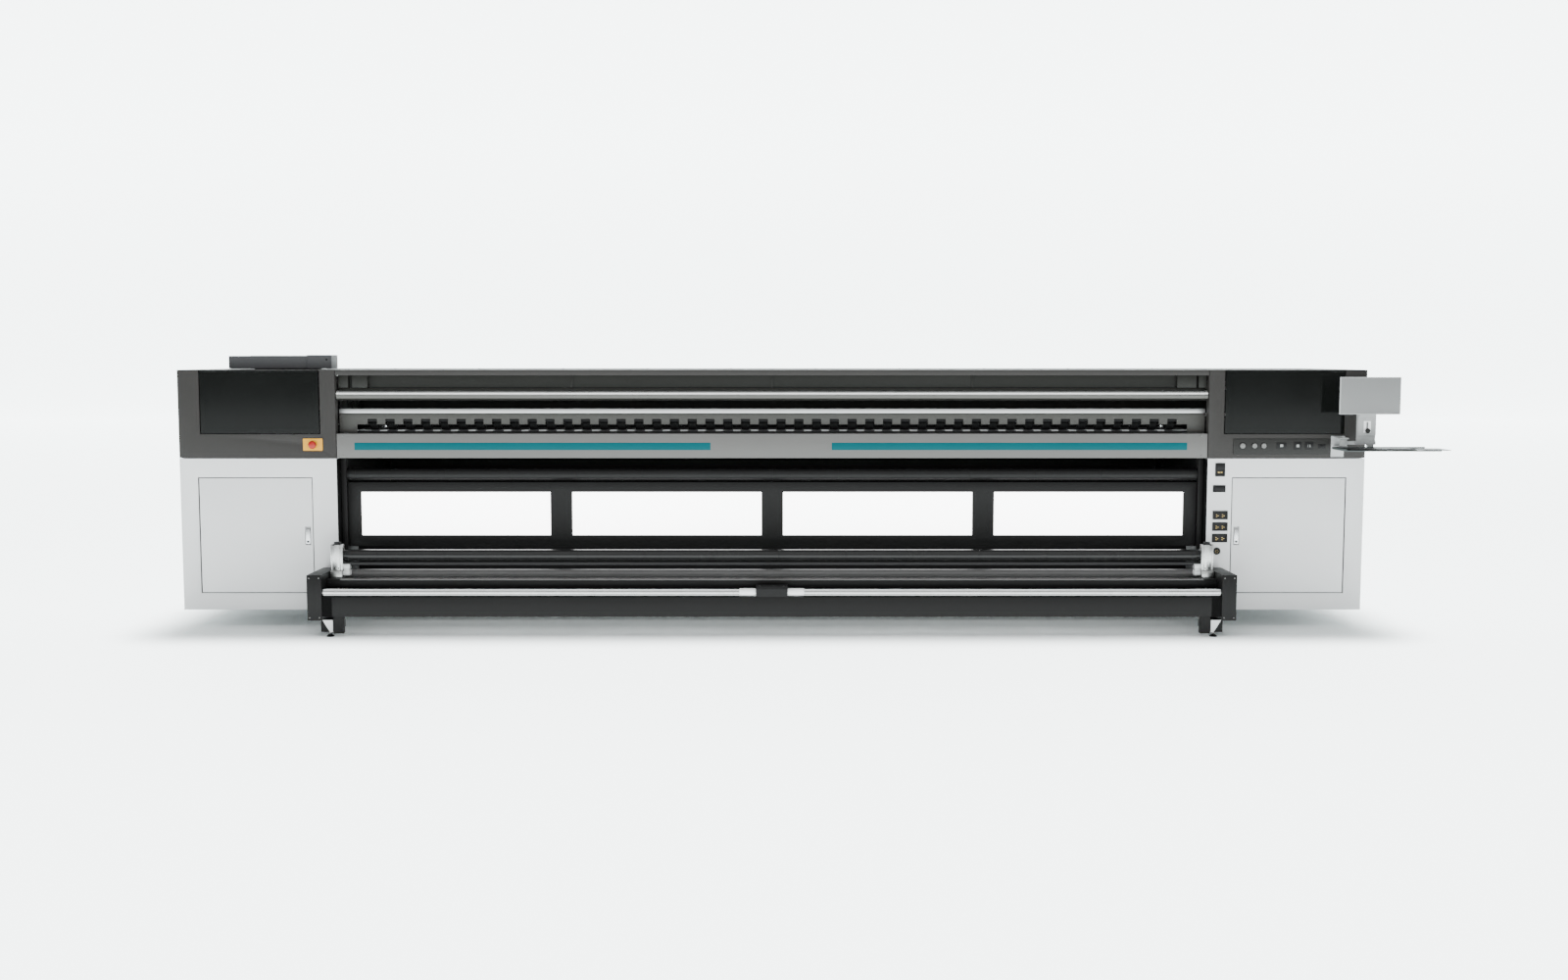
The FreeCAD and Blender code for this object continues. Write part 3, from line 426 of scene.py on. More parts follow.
def latch(label, body):
    lo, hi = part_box(label)
    bm = bmesh.new()
    w = hi.x - lo.x
    bm_box(bm, (lo.x, lo.y, lo.z), (hi.x, lo.y + 0.006, hi.z - 0.004), 0.0022, 3)
    bm_box(bm, (lo.x + 0.004, lo.y - 0.0, lo.z + 0.006), (hi.x - 0.004, lo.y + 0.0085, lo.z + 0.022), 0.002, 2)
    c = Vector((lo.x, lo.y + 0.007, 0.602))
    lathe(bm, "X", c, [(0, 0), (0, 0.0038), (0.0006, 0.0044), (w - 0.0006, 0.0044), (w, 0.0038), (w, 0)], 20)
    # key cylinder
    k = Vector(((lo.x + hi.x) / 2, lo.y + 0.0002, hi.z - 0.030))
    lathe(bm, "Y", k, [(0.0, 0), (0.0, 0.0046), (0.0006, 0.0054), (0.006, 0.0054), (0.006, 0)], 20)
    piece(label + "_paddle", bm, "steel", body, (label,))


latch("left_latch", "latch_left")
latch("right_latch", "latch_right")

# ------------------------------------------------------------------ pinch row
WY, WZ, WR = -450.0, 1236.0, 33.0
bm = bmesh.new()
hub = bmesh.new()
for i in range(46):
    xc = -2437.0 + i * 108.3
    w = 0.025
    prof = [(-w, 0.016), (-w, 0.0285), (-w + 0.0015, 0.0312), (-w + 0.004, 0.033)]
    for g in range(1, 8):
        q = -w + 0.004 + g * (2 * w - 0.008) / 8
        prof += [(q - 0.0012, 0.033), (q - 0.0006, 0.0318), (q + 0.0006, 0.0318), (q + 0.0012, 0.033)]
    prof += [(w - 0.004, 0.033), (w - 0.0015, 0.0312), (w, 0.0285), (w, 0.016)]
    lathe(bm, "X", P(xc, WY, WZ), prof, 36, closed=True)
    lathe(hub, "X", P(xc, WY, WZ), [(-0.0265, 0.0075), (-0.0265, 0.0145), (-0.0255, 0.0158), (0.0255, 0.0158), (0.0265, 0.0145), (0.0265, 0.0075)], 24, closed=True)
piece("pinch_tyres", bm, "rubber_black", "pinch_roller", ("pinch_wheels",))
piece("pinch_hubs", hub, "plastic_dark", "pinch_roller")
bm = bmesh.new()
rod(bm, "X", -2520, WY, WZ, 7.4, 5040, 20)
piece("pinch_axle", bm, "plastic_black", "pinch_roller")

bm = bmesh.new()
spr = bmesh.new()
for i in range(47):
    xa = -2437.0 + (i - 0.5) * 108.3
    # forked arm with a rounded nose, open towards the axle
    box_mm(bm, xa - 13, -505, 1240, 6, 72, 24, 2.0)
    box_mm(bm, xa + 7, -505, 1240, 6, 72, 24, 2.0)
    box_mm(bm, xa - 13, -505, 1246, 26, 26, 20, 2.0)
    box_mm(bm, xa - 10, -466, 1256, 20, 30, 9, 2.0)
    for s in (-13, 7):
        box_mm(bm, xa + s, -458, 1228, 6, 10 if s else 10, 18, 1.5)
    # pressure spring on its stud
    for k in range(4):
        lathe(spr, "Z", P(xa, -488, 1266.2 + k * 1.6), [(0, 0.0045), (0.0006, 0.0058), (0.0012, 0.0045)], 12)
box_mm(bm, -2560, -505, 1254, 5120, 12, 12, 1.5)
rod(bm, "X", -2560, -510, 1262, 8.8, 5120, 20)
piece("pinch_arm_row", bm, "plastic_black", "pinch_lifter", ("pinch_arms",))
piece("pinch_springs", spr, "zinc", "pinch_lifter")

# drive roller with a gritted band under every wheel
bm = bmesh.new()
nz = 1236.0 - 33 - 40 - 0.5
prof = [(0, 0), (0, 0.038), (0.002, 0.040)]
for i in range(46):
    xc = (-2437.0 + i * 108.3 + 2598) / 1000
    prof += [(xc - 0.027, 0.040), (xc - 0.0262, 0.0393), (xc + 0.0262, 0.0393), (xc + 0.027, 0.040)]
prof += [(5.194, 0.040), (5.196, 0.038), (5.196, 0)]
lathe(bm, "X", P(-2598, WY, nz), prof, 48)
rod(bm, "X", -2632, WY, nz, 20, 5264, 24)
piece("grit_roller", bm, "grit", "feed_drive", ("drive_roller",))
# white bands on the roller between the wheels, coloured as a painted glint
bm = bmesh.new()
for i in range(45):
    xc = -2437.0 + (i + 0.5) * 108.3
    lathe(bm, "X", P(xc, WY, nz), [(-0.0225, 0.0395), (-0.0225, 0.0398), (-0.0215, 0.0402), (0.0215, 0.0402), (0.0225, 0.0398), (0.0225, 0.0395)], 48, closed=True)
piece("roller_lands", bm, "land_white", "feed_drive")


# ------------------------------------------------------------------ plain rollers
def roller(label, y, z, r, half, body, mat, jr=12.0, groove=0.0, half_j=2632.0):
    bm = bmesh.new()
    h = half / 1000
    c = r / 1000
    prof = [(0, 0), (0, c - 0.003), (0.001, c - 0.001), (0.003, c), (0.05, c), (0.0505, c - 0.0012), (0.053, c - 0.0012), (0.0535, c)]
    if groove:
        q = 0.2
        while q < 2 * h - 0.2:
            prof += [(q, c), (q + 0.0008, c - 0.0008), (q + 0.003, c - 0.0008), (q + 0.0038, c)]
            q += groove
    L = 2 * h
    prof += [(L - 0.0535, c), (L - 0.053, c - 0.0012), (L - 0.0505, c - 0.0012), (L - 0.05, c), (L - 0.003, c), (L - 0.001, c - 0.001), (L, c - 0.003), (L, 0)]
    lathe(bm, "X", P(-half, y, z), prof, 48)
    rod(bm, "X", -half_j, y, z, jr, 2 * half_j, 20)
    piece(label + "_body", bm, mat, body, (label,))


roller("front_idler_roller", -500, 931, 36, 2598, "front_idler", "roller_black", groove=0.4)
roller("tension_roller", -750, 465, 34, 2560, "tension", "sleeve_grey", half_j=2630, groove=0.4)
roller("takeup_roller", -700, 350, 24, 2641, "winder", "roller_satin", half_j=2664)
roller("feed_shaft", 600, 420, 38, 2598, "unwinder", "silver", jr=15.0)

# take-up shaft: grooved bar, two bright collars
bm = bmesh.new()
R = 0.022
prof_n = 40
h = 2.641
ring = []
for k in range(prof_n):
    t = 2 * math.pi * k / prof_n
    ring.append(R - (0.0035 if k % 10 == 5 else 0.0))
d, u, w = AX["X"]
o = P(0, -925, 267)
ends = []
for sgn in (-1, 1):
    ends.append([bm.verts.new(o + d * (sgn * h) + (u * math.cos(2 * math.pi * k / prof_n) + w * math.sin(2 * math.pi * k / prof_n)) * ring[k]) for k in range(prof_n)])
for k in range(prof_n):
    j = (k + 1) % prof_n
    bm.faces.new((ends[0][k], ends[0][j], ends[1][j], ends[1][k]))
bm.faces.new(ends[0])
bm.faces.new(list(reversed(ends[1])))
rod(bm, "X", -2664, -925, 267, 12, 5328, 20)
piece("winding_bar", bm, "silver", "winding_shaft", ("takeup_shaft",), angle=25)
bm = bmesh.new()
for x in (-190.0, 96.0):
    c = 0.0235
    lathe(bm, "X", P(x, -925, 267), [(0, 0.0222), (0, c - 0.0015), (0.0015, c), (0.012, c), (0.0125, c - 0.0008), (0.0145, c - 0.0008), (0.015, c), (0.079, c),
                                     (0.0795, c - 0.0008), (0.0815, c - 0.0008), (0.082, c), (0.0925, c), (0.094, c - 0.0015), (0.094, 0.0222)], 40, closed=True)
piece("winding_collars", bm, "white_plastic", "winding_shaft", ("shaft_collars",))

# split centre bearing on the front beam
bm = bmesh.new()
x0, x1 = -93.0, 93.0
prof = []
for k in range(25):
    t = math.pi * k / 24
    prof.append((-925 + 27.5 * math.cos(t), 285 + 27.0 * math.sin(t)))
outline = [(-897.5, 241.6), *[(max(min(p[0], -897.5), -952.5), p[1]) for p in prof], (-952.5, 241.6)]
hole = [(-925 + 22.3 * math.cos(2 * math.pi * k / 32), 267 + 22.3 * math.sin(2 * math.pi * k / 32)) for k in range(32)]


def slab(xa, xb):
    left, right = [], []
    for x, store in ((xa, left), (xb, right)):
        store.append([bm.verts.new(P(x, y, z)) for y, z in outline])
        store.append([bm.verts.new(P(x, y, z)) for y, z in hole])
    for a in (0, 1):
        n = len(left[a])
        for k in range(n):
            j = (k + 1) % n
            bm.faces.new((left[a][k], left[a][j], right[a][j], right[a][k]))
    for side in (left, right):
        es = []
        for loop in side:
            n = len(loop)
            for k in range(n):
                e = bm.edges.get((loop[k], loop[(k + 1) % n]))
                es.append(e)
        bmesh.ops.triangle_fill(bm, edges=es, use_beauty=True, use_dissolve=False)


slab(x0, x1)
for xx in (-80, 64):
    rod(bm, "Z", xx + 8, -943, 300, 4.5, 9, 16)
piece("centre_bearing_block", bm, "plastic_black", "root", ("centre_bearing",))

# ------------------------------------------------------------------ silver tube and bright edge
bm = bmesh.new()
rod(bm, "X", -2636, -560, 1414.5, 29, 5272, 56, 1.0)
for x in (-2636, 2618):
    lathe(bm, "X", P(x, -560, 1414.5), [(0, 0.0292), (0, 0.0305), (0.001, 0.0315), (0.017, 0.0315), (0.018, 0.0305), (0.018, 0.0292)], 48, closed=True)
piece("guard_tube", bm, "rail_silver", "root", ("silver_rails",))
bm = bmesh.new()
box_mm(bm, -2636, -532, 1306, 5272, 10, 27, 2.5, 3)
piece("bright_edge", bm, "edge_silver", "root")
# black strip along the rear lip of the front panel, painted shade below the drive roller's lands
bm = bmesh.new()
box_mm(bm, -2535, -503, 1184.8, 5070, 2.6, 11, 0.8)
box_mm(bm, -2535, -514, 1184.8, 5070, 12, 2.2, 0.6)
piece("front_lip_shade_strip", bm, "plastic_black", "root")

# screws along the long covers
bm = bmesh.new()


def screw(x, y, z, face="front", r=5.5):
    r /= 1000.0
    o = P(x, y, z)
    ax, sg = {"front": ("Y", 1), "top": ("Z", -1), "back": ("Y", -1), "left": ("X", 1), "right": ("X", -1)}[face]
    lathe(bm, ax, o, [(sg * -0.0022, 0), (sg * -0.0022, r * 0.35), (sg * -0.0012, r * 0.42), (sg * -0.0026, r * 0.55), (sg * -0.0020, r * 0.9), (0, r), (sg * 0.001, 0)], 14)


for i in range(12):
    screw(-2530 + i * 460, -518.0, 1300 + 0, "front", 4.0)
for i in range(10):
    screw(-2560 + i * 569, -560, 1570, "top")
    screw(-2560 + i * 569, -100, 1570, "top")
    screw(-2560 + i * 569, 110, 1570, "top")
    screw(-2560 + i * 569, 560, 1570, "top")
    screw(-2560 + i * 569, 600, 1530, "back")
    screw(-2560 + i * 569, 600, 560, "back")
for s in (-1, 1):
    for x in (2700, 3120, 3530):
        screw(s * x, 600, 1530, "back")
        screw(s * x, 600, 1080, "back")
        screw(s * x, 600, 990, "back")
        screw(s * x, 600, 160, "back")
    for y in (-540, 0, 540):
        for z in (160, 990, 1080, 1530):
            screw(s * 3590, y, z, "right" if s > 0 else "left")
for s in (-1, 1):
    for x, z in ((2600, 1050), (2600, 1172)):
        screw(s * x, -598, z, "front", 4.5)
    for x in (2659, 2716):
        for z in (120, 355):
            screw(s * x, -960, z, "front", 4.5)
piece("cover_screws", bm, "zinc", "root", angle=40)

# ------------------------------------------------------------------ controls
# emergency stop: mushroom head with a waist, ring and raised plate
bm = bmesh.new()
lathe(bm, "Y", P(-2779, -628, 1118),
      [(0.0, 0), (0.0002, 0.010), (0.0012, 0.017), (0.0034, 0.0215), (0.0066, 0.0238), (0.0100, 0.0236), (0.0128, 0.0215), (0.0136, 0.0165), (0.0142, 0.0120), (0.0275, 0.0118), (0.0275, 0)], 48)
piece("mushroom_head", bm, "red", "estop", ("estop_button",))
bm = bmesh.new()


def holed_plate(bm, x0, z0, x1, z1, y0, y1, holes):
    """Flat plate with round holes (x, z, r), all in millimetres, thickness along Y."""
    loops = [[(x0 + 3, z0), (x1 - 3, z0), (x1, z0 + 3), (x1, z1 - 3), (x1 - 3, z1), (x0 + 3, z1), (x0, z1 - 3), (x0, z0 + 3)]]
    for hx, hz, hr in holes:
        loops.append([(hx + hr * math.cos(2 * math.pi * k / 32), hz + hr * math.sin(2 * math.pi * k / 32)) for k in range(32)])
    sides = [[[bm.verts.new(P(x, y, z)) for x, z in lp] for lp in loops] for y in (y0, y1)]
    for lp in range(len(loops)):
        n = len(loops[lp])
        for k in range(n):
            j = (k + 1) % n
            bm.faces.new((sides[0][lp][k], sides[0][lp][j], sides[1][lp][j], sides[1][lp][k]))
    for side in sides:
        es = [bm.edges.get((lp[k], lp[(k + 1) % len(lp)])) for lp in side for k in range(len(lp))]
        bmesh.ops.triangle_fill(bm, edges=es, use_beauty=True, use_dissolve=False)


holed_plate(bm, -2838, 1082, -2720, 1156, -605.5, -600.0, [(-2779, 1118, 12.4)])
piece("estop_backing", bm, "yellow", "root", ("estop_plate",))
bm = bmesh.new()
lathe(bm, "Y", P(-2779, -606.6, 1118), [(0, 0.0126), (0, 0.0195), (0.0005, 0.0205), (0.0011, 0.0208), (0.0011, 0.0126)], 40, closed=True)
piece("estop_collar", bm, "plastic_black", "root")

bm = bmesh.new()
box_mm(bm, 2792, -605.6, 1060, 580, 5.6, 94, 2.5, 3)
piece("control_fascia", bm, "plastic_dark", "root", ("control_panel",))
bm = bmesh.new()
for x, r in ((2846, 0.0195), (2918, 0.0172), (2974, 0.0172)):
    lathe(bm, "Y", P(x, -610.5, 1112), [(0, r - 0.0022), (0.0006, r - 0.0006), (0.0022, r), (0.0052, r), (0.0052, r - 0.0022)], 36, closed=True)
piece("button_bezels", bm, "plastic_black", "root")
bm = bmesh.new()
lathe(bm, "Y", P(2846, -615.5, 1112), [(0, 0), (0.0003, 0.008), (0.002, 0.0148), (0.005, 0.0168), (0.012, 0.0168), (0.012, 0)], 36)
piece("signal_lamp", bm, "button_pale", "root")
for n, x in (("start_button", 2918), ("stop_button", 2974)):
    bm = bmesh.new()
    lathe(bm, "Y", P(x, -616, 1112), [(0.0008, 0), (0.0004, 0.009), (0.0, 0.0122), (0.0008, 0.0142), (0.0022, 0.0148), (0.006, 0.0148), (0.006, 0.0098), (0.017, 0.0098), (0.017, 0)], 36)
    piece(n + "_cap", bm, "button_pale", n.split("_")[0], (n,))
bm = bmesh.new()
for x, w, z, hgt in ((3054, 56, 1096, 34), (3160, 40, 1090, 44), (3226, 46, 1090, 44), (3306, 40, 1096, 24)):
    box_mm(bm, x - 2, -608.6, z - 2, w + 4, 3.5, hgt + 4, 1.6, 2)
piece("meter_frames", bm, "plastic_black", "root")
bm = bmesh.new()
for x, w, z, hgt in ((3054, 56, 1096, 34), (3160, 40, 1090, 44), (3226, 46, 1090, 44)):
    box_mm(bm, x + w / 2 - 9, -609.4, z + hgt / 2 - 8, 18, 1.4, 16, 0.5)
piece("meter_windows", bm, "white_label", "root")
bm = bmesh.new()
for k in range(3):
    box_mm(bm, 3228 + k * 14, -612.0, 1100, 9, 3.0, 26, 1.2)
rod(bm, "Y", 3326, -614, 1108, 7, 6, 20)
piece("meter_switches", bm, "plastic_black", "root")

# inlets on the right cabinet
bm = bmesh.new()
pins_ = bmesh.new()


def frame_plate(x, z, w, hgt, wx, wz, ww, wh, y=-606.0, t=6.0):
    box_mm(bm, x, y, z, wx - x, t, hgt, 1.2)
    box_mm(bm, wx + ww, y, z, x + w - wx - ww, t, hgt, 1.2)
    box_mm(bm, wx - 1, y, z, ww + 2, t, wz - z, 1.2)
    box_mm(bm, wx - 1, y, wz + wh, ww + 2, t, z + hgt - wz - wh, 1.2)
    box_mm(bm, wx - 1, y + t - 1.2, wz - 1, ww + 2, 1.0, wh + 2)


frame_plate(2686, 926, 59, 81, 2695, 936, 41, 30)
box_mm(bm, 2696, -607.5, 974, 39, 3, 24, 1.4)
for z in (664, 594, 524):
    frame_plate(2676, z, 92, 52, 2686, z + 8, 72, 36)
    for k in (0, 1):
        for dx, dz in ((12, 8), (12, 20), (22, 14)):
            box_mm(pins_, 2688 + k * 36 + dx - 3, -603.6, z + 8 + dz - 1, 6, 2.5, 2.4)
frame_plate(2674, 830, 76, 42, 2679, 835, 66, 32)
for dx in (10, 20, 31):
    box_mm(pins_, 2695 + dx - 2, -605, 946, 3, 4, 9)
lathe(bm, "Y", P(2706, -612, 470), [(0, 0.0155), (0, 0.0195), (0.001, 0.0205), (0.007, 0.0205), (0.0075, 0.0222), (0.0118, 0.0222), (0.0118, 0.0155)], 36, closed=True)
lathe(bm, "Y", P(2706, -605, 470), [(0, 0), (0, 0.0154), (0.004, 0.0154), (0.004, 0)], 30)
for k in range(6):
    t = k * math.pi / 3
    rod(pins_, "Y", 2706 + 8.5 * math.cos(t), -608.5, 470 + 8.5 * math.sin(t), 1.3, 4, 10, 0.3)
piece("inlet_column", bm, "plastic_black", "root", ("power_inlets",))
piece("inlet_contacts", pins_, "brass", "root")
rounded("power_rocker", "plastic_black", 0.8, "rocker")

# ------------------------------------------------------------------ monitor, arm, tray
bm = bmesh.new()
box_mm(bm, 3371, -763, 1307, 363, 12, 222, 4.0, 3)
box_mm(bm, 3391, -752.5, 1327, 323, 7, 182, 3.0, 3)
# slotted plate as a ring round its slot
box_mm(bm, 3490, -744.8, 1180, 49.8, 7.6, 127, 2.0)
box_mm(bm, 3550.2, -744.8, 1180, 47.8, 7.6, 127, 2.0)
box_mm(bm, 3538, -744.8, 1180, 14, 7.6, 20, 1.0)
box_mm(bm, 3538, -744.8, 1262, 14, 7.6, 45, 1.0)
box_mm(bm, 3500, -746, 1290, 88, 9, 60, 2.0)
for k in range(14):
    box_mm(bm, 3420 + k * 20, -746.5, 1480, 9, 2.0, 16, 0.8)
piece("monitor_case", bm, "monitor_shell", "screen", ("monitor",))
bm = bmesh.new()
box_mm(bm, 3376, -763.9, 1312, 353, 2.4, 212, 1.0)
piece("monitor_face", bm, "monitor_face", "screen")
bm = bmesh.new()
box_mm(bm, 3524, -746.4, 1199, 15.6, 1.8, 64, 0.5)
box_mm(bm, 3550.4, -746.4, 1199, 15.6, 1.8, 64, 0.5)
box_mm(bm, 3524, -746.4, 1262.2, 42, 1.8, 5, 0.5)
piece("slot_liner", bm, "white_plastic", "screen")
bm = bmesh.new()
for k in range(4):
    rod(bm, "Y", 3686 + k * 10, -764.6, 1316.5, 1.8, 1.5, 10, 0.3)
piece("monitor_keys", bm, "plastic_dark", "screen")
bm = bmesh.new()
n = 40
prof = []
o = P(3545, -764, 1210)
d, u, w = AX["Y"]
rings = []
for along, base, lobes in ((0.0, 0.0105, 0), (0.0008, 0.0125, 0.6), (0.002, 0.0138, 1), (0.013, 0.0138, 1), (0.0145, 0.0115, 0.3), (0.0175, 0.0105, 0)):
    rings.append([bm.verts.new(o + d * along + (u * math.cos(2 * math.pi * k / n) + w * math.sin(2 * math.pi * k / n)) * (base + 0.0010 * lobes * math.cos(8 * 2 * math.pi * k / n))) for k in range(n)])
for p, q in zip(rings, rings[1:]):
    for k in range(n):
        j = (k + 1) % n
        bm.faces.new((p[k], p[j], q[j], q[k]))
bm.faces.new(rings[0])
inner = [bm.verts.new(o + d * 0.0175 + (u * math.cos(2 * math.pi * k / n) + w * math.sin(2 * math.pi * k / n)) * 0.0052) for k in range(n)]
for k in range(n):
    j = (k + 1) % n
    bm.faces.new((rings[-1][k], rings[-1][j], inner[j], inner[k]))
deep = [bm.verts.new(v.co - d * 0.012) for v in inner]
for k in range(n):
    j = (k + 1) % n
    bm.faces.new((inner[k], inner[j], deep[j], deep[k]))
bm.faces.new(deep)
piece("clamp_knob", bm, "plastic_dark", "knob", ("monitor_knob",), angle=50)
rounded("monitor_arm", "monitor_shell", 1.2, "arm")
rounded("monitor_wall_bracket", "monitor_shell", 1.0, "root")
bm = bmesh.new()
box_mm(bm, 3339, -985, 1100, 555, 245, 5.5, 1.5)
box_mm(bm, 3339, -985, 1104, 3, 245, 9.5, 1.0)
box_mm(bm, 3339, -744, 1104, 555, 3, 9.5, 1.0)
box_mm(bm, 3500, -760, 1100.5, 130, 30, 11, 1.2)
box_mm(bm, 3894, -930, 1102, 77.5, 180, 4, 1.2)
piece("tray_sheet", bm, "tray", "arm", ("keyboard_tray",))
bm = bmesh.new()
for row in range(5):
    for col in range(20):
        box_mm(bm, 3372 + col * 19.2, -955 + row * 27, 1108.5, 16.5, 23, 4.6, 1.6)
piece("key_caps", bm, "plastic_dark", "arm")
bm = bmesh.new()
box_mm(bm, 3366, -962, 1105.5, 394, 146, 4.5, 2.0, 3)
box_mm(bm, 3806, -972, 1105.5, 84, 190, 2.2, 1.0)
piece("key_base", bm, "plastic_black", "arm")

# ------------------------------------------------------------------ posts and small take-up parts
bm = bmesh.new()
cap = bmesh.new()
blk = bmesh.new()
for s in (-1, 1):
    cx = s * 2604.0
    # slotted extrusion: two bright ribs with a groove, and a thin outer flange
    box_mm(bm, cx - 36, -771, 372, 72, 46, 158, 2.0, 2)
    box_mm(bm, cx - 16 - s * 4, -775, 373, 32, 12, 156, 3.0, 3)
    box_mm(bm, cx - s * 26 - 7, -774.5, 373, 14, 10, 140, 3.0, 3)
    box_mm(bm, cx + s * 31 - 4, -774.5, 373, 8, 10, 156, 2.0, 2)
    box_mm(bm, cx - 36, -790, 300, 72, 65, 74, 3.0, 2)
    for q in (-12, 12):
        lathe(cap, "Y", P(cx + q, -776.2, 388), [(0, 0), (0, 0.003), (0.0006, 0.0042), (0.0028, 0.0042), (0.0028, 0)], 16)
    rod(cap, "Z", cx, -750, 529.5, 20, 14.5, 32, 2.0)
    box_mm(cap, cx - 24, -772, 524, 48, 44, 7, 1.5)
    xb = -2568.0 if s < 0 else 2526.0
    box_mm(blk, xb, -775, 382, 42, 44, 32, 4.0, 3)
    box_mm(blk, xb, -773, 344, 42, 40, 30, 4.0, 3)
    box_mm(blk, xb + 5, -770, 370, 32, 34, 16, 1.0)
piece("post_profiles", bm, "silver", "root", ("roller_posts",))
piece("post_clamps", blk, "white_metal", "root")
piece("post_caps", cap, "plastic_black", "root")
bm = bmesh.new()
rod(bm, "X", -2580, -750, 415, 11.8, 5160, 28)
piece("tie_rod", bm, "rod_grey", "root")

# feet: threaded stem, lock nut, domed pad
bm = bmesh.new()
pad_ = bmesh.new()


def foot(x, y, top):
    prof = [(0.010, 0), (0.010, 0.0074)]
    z = 0.012
    while z < top / 1000 - 0.003:
        prof += [(z, 0.0080), (z + 0.0012, 0.0072)]
        z += 0.0024
    prof += [(top / 1000 - 0.0005, 0.0074), (top / 1000 - 0.0005, 0)]
    lathe(bm, "Z", P(x, y, 0), prof, 16)
    lathe(bm, "Z", P(x, y, max(top - 10, 15)), [(0, 0.0082), (0, 0.013), (0.001, 0.0142), (0.007, 0.0142), (0.008, 0.013), (0.008, 0.0082)], 6, closed=True)
    lathe(pad_, "Z", P(x, y, 0), [(0, 0), (0, 0.0225), (0.001, 0.024), (0.004, 0.0236), (0.009, 0.0165), (0.012, 0.0115), (0.0135, 0)], 28)


for x in (-2612.0, 2612.0):
    foot(x, -905.0, 30.0)
for x in (-3440.0, -2760.0, 2760.0, 3440.0):
    for y in (160.0, 540.0):
        foot(x, y, 110.0)
for x in (-2619.0, 2619.0):
    for y in (0.0, 460.0):
        foot(x, y, 110.0)
piece("foot_stems", bm, "zinc", "root", ("levelling_feet",))
piece("foot_pads", pad_, "plastic_black", "root")
# bright tapered gusset plates under the end boxes
bm = bmesh.new()
for s in (-1, 1):
    pts_g = [(2648, 102.5), (2588, 102.5), (2588, 31), (2604, 31), (2622, 58)]
    loops = []
    for yy in (-938.5, -931.0):
        loops.append([bm.verts.new(P(s * x, yy, z)) for x, z in pts_g])
    bm.faces.new(loops[0])
    bm.faces.new(list(reversed(loops[1])))
    for k in range(len(pts_g)):
        j = (k + 1) % len(pts_g)
        bm.faces.new((loops[0][k], loops[0][j], loops[1][j], loops[1][k]))
piece("gusset_plates", bm, "white_metal", "root")
# dark end plates of the front beam, and a lighter lip on the upper profile that paints the highlight of its top
bm = bmesh.new()
for s in (-1, 1):
    box_mm(bm, 2587 * s if s > 0 else -2644.5, -956.6, 126, 57.5, 2.2, 114, 0.6)
piece("beam_end_plates", bm, "dark_gap", "root")
# lighter satin strip on the black profile's top: painted highlight
bm = bmesh.new()
box_mm(bm, -2566, -851.2, 325.5, 5132, 60, 8.6, 3.5, 3)
piece("profile_top_highlight", bm, "roller_satin", "root")
# dark sheets on the inner cabinet sides, painted shade
bm = bmesh.new()
for s in (-1, 1):
    xa = -2641.0 if s < 0 else 2639.2
    box_mm(bm, xa, -597, 112, 1.8, 420, 920, 0.4)
piece("side_shade_sheets", bm, "dark_gap", "root")

# stripes
bm = bmesh.new()
box_mm(bm, -2528.6, -599.4, 1086, 2155.3, 1.3, 44, 0.4)
box_mm(bm, 361.2, -599.4, 1086, 2151.1, 1.3, 44, 0.4)
piece("stripe_vinyl", bm, "teal", "root", ("teal_stripes",))

# ------------------------------------------------------------------ carriage hood, vents, seams
bm = bmesh.new()
box_mm(bm, -3349, -390, 1576, 484, 470, 78, 5.0, 4)
box_mm(bm, -2866, -396, 1576, 152, 140, 83.6, 4.0, 4)
piece("hood_shell", bm, "hood_paint", "carriage", ("carriage_hood",))
bm = bmesh.new()
lathe(bm, "Y", P(-2744, -397.6, 1632), [(0, 0), (0, 0.005), (0.001, 0.006), (0.003, 0.006), (0.003, 0)], 20)
for k in range(9):
    box_mm(bm, -3270 + k * 44, -220, 1653.0, 26, 150, 2.6, 1.0)
piece("hood_trim", bm, "plastic_black", "carriage")

bm = bmesh.new()
for s in (-1, 1):
    # louvre fields on the cabinet sides
    x = s * 3590.0
    for r_ in range(14):
        for cidx in range(2):
            y = -330 + cidx * 380
            xa = x - 1.5 if s > 0 else x - 4.5
            box_mm(bm, xa, y, 380 + r_ * 26, 6.0, 280, 9, 2.4, 3)
piece("side_louvres", bm, "cabinet_light", "root")
bm = bmesh.new()
for s in (-1, 1):
    x = s * 3590.0
    for r_ in range(14):
        for cidx in range(2):
            y = -325 + cidx * 380
            xa = x if s > 0 else x - 0.9
            box_mm(bm, xa, y, 380 + r_ * 26 - 5.5, 0.9, 270, 4.5)
for i in range(8):
    for r_ in range(9):
        x = -2360 + i * 620
        box_mm(bm, x, 600.0, 1120 + r_ * 20, 260, 0.9, 7)
for x in (-1758.0, -879.0, 0.0, 879.0, 1758.0):
    box_mm(bm, x - 1.2, 600.0, 524, 2.4, 0.6, 1042)
    box_mm(bm, x - 1.2, 76, 1569.9, 2.4, 522, 0.5)
    box_mm(bm, x - 1.2, -598, 1569.9, 2.4, 534, 0.5)
for s in (-1, 1):
    # rear service doors on the cabinets
    for q in ((2790, 220, 3, 700), (3470, 220, 3, 700)):
        box_mm(bm, (s * q[0]) - 1.5, 600.0, q[1], q[2], 0.8, q[3])
    box_mm(bm, min(s * 2790, s * 3470), 600.0, 219, 680, 0.8, 3)
    box_mm(bm, min(s * 2790, s * 3470), 600.0, 918, 680, 0.8, 3)
piece("dark_slots", bm, "dark_gap", "root")
bm = bmesh.new()
for i in range(5):
    x = -1758 - 439.5 + i * 879.0
    for q in (-65, 55):
        box_mm(bm, x + q, 597, 880, 10, 26, 16, 3.0, 3)
    box_mm(bm, x - 65, 616, 880, 130, 9, 16, 4.0, 3)
piece("rear_pulls", bm, "plastic_black", "root")
